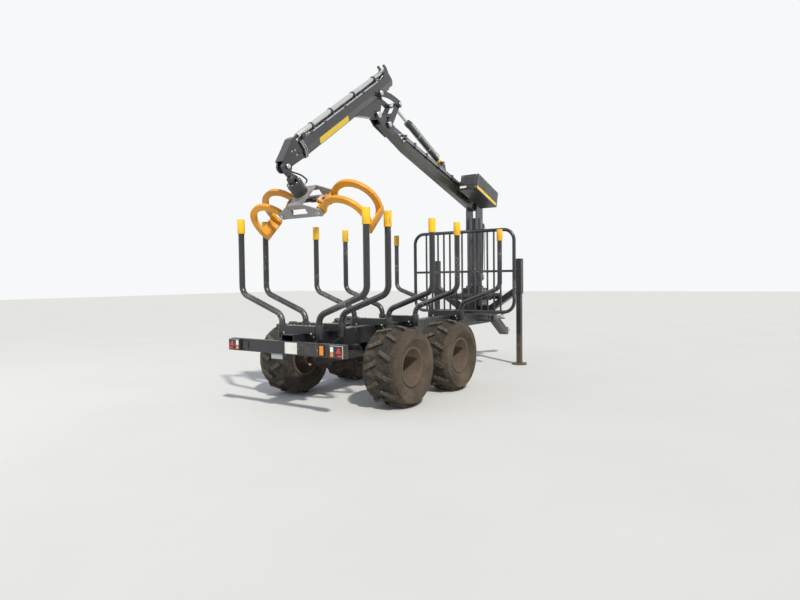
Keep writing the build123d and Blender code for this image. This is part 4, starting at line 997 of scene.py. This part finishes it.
# Grapple: caps on both ends of each claw's pin, and bolts of the turntable
pin_half_limit = 0.35
caps = Shape("grapple_caps", "grapple_body", bolt_steel, slot="bare_steel")
for joint in ("claw_right_open", "claw_left_open"):
    for end in (-1, 1):
        centre = pins[joint]
        spot = touch("grapple_frame", centre + hang_y * end * beside_crane, -hang_y * end)
        if (spot - centre).length < pin_half_limit:
            caps.pin_cap(spot, hang_y * end, radius=0.023, height=0.012)
turntable = hang(387) + hang_x * 0.028
for place in circle(turntable, hang_y, across, 0.076, 8, start=0.5):
    caps.bolt(place, hang_x, radius=0.008, height=0.008)
caps.make()

# Rotator: ring of bolts, two bands and the hoses' two ports
top_down, ports_down = 215, 325
ports_aside = (-45, 45)
rotator_port = [(0, 0.016), (0.022, 0.016), (0.026, 0.012), (0.040, 0.012)]
trim = Shape("rotator_trim", "rotator_body", bolt_steel, black, slot="bare_steel")
for place in circle(hang(top_down), hang_y, across, 0.078, 8, start=0.5):
    trim.bolt(place, -hang_x, radius=0.008, height=0.008)
trim.use(black)
for d in (252, 354):
    trim.band(hang(d), hang_x, 0.0952, 0.0985, length=0.014, count=48)
trim.use(bolt_steel)
for y in ports_aside:
    spot = touch("rotator", hang(ports_down, -300, y), hang_y)
    trim.fitting(spot + hang_y * 0.008, -hang_y, rotator_port)
trim.make()

# Hoses
spline_degree = 2
samples_per_span = 60


def b_line(points):
    """Length of the clamped quadratic B-spline through control points."""
    total, last = 0.0, Vector(points[0])
    count = len(points)
    spans = count - spline_degree
    knots = [0, 0, 0] + list(range(1, spans)) + [spans] * 3
    steps = samples_per_span * spans
    for i in range(1, steps + 1):
        u = spans * i / steps
        span = min(int(u), spans - 1)
        a = [Vector(points[span + j]) for j in range(3)]
        for r in (1, 2):
            for j in range(2, r - 1, -1):
                low = knots[span + j]
                high = knots[span + j + 3 - r]
                w = (u - low) / (high - low) if high > low else 0
                a[j] = a[j - 1] * (1 - w) + a[j] * w
        total += (a[2] - last).length
        last = a[2]
    return total


def hose(name, body, points, radius):
    """A free hose along its control points, its length measured on its own line."""
    data = bpy.data.curves.new(name, "CURVE")
    data.dimensions = "3D"
    data.bevel_depth = radius
    data.bevel_resolution = 4
    data.resolution_u = 24
    spline = data.splines.new("NURBS")
    spline.points.add(len(points) - 1)
    for p, place in zip(spline.points, points):
        p.co = (*place, 1)
    spline.order_u = spline_degree + 1
    spline.use_endpoint_u = True
    piece = bpy.data.objects.new(name, data)
    bpy.context.scene.collection.objects.link(piece)
    data.materials.append(hose_rubber)
    line = b_line(points)
    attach(piece, body)


# Two hoses from the tip link down to the rotator's ports
for row, y in enumerate(ports_aside):
    end = touch("rotator", hang(ports_down, -400, y), hang_y)
    hose("rotator_hose_%d" % row, "tip_link_body", [
        hang(78, -22, y * 0.45), hang(125, -55, y * 0.75), hang(205, -120, y), hang(285, -155, y),
        hang(ports_down, -168, y), end - hang_y * 0.030,
    ], 0.010)

# Three hoses by the headboard, from the housing down to the drawbar
for row in range(3):
    y = -0.12 - 0.035 * row
    hose("base_hose_%d" % row, "frame", [
        Vector((1.53, y, 1.30)), Vector((1.44, y, 1.30)), Vector((1.36, y - 0.02, 1.20)),
        Vector((1.37, y, 1.02)), Vector((1.46, y * 0.8, 0.955)), Vector((1.56, y * 0.75, 0.955)),
    ], 0.011)
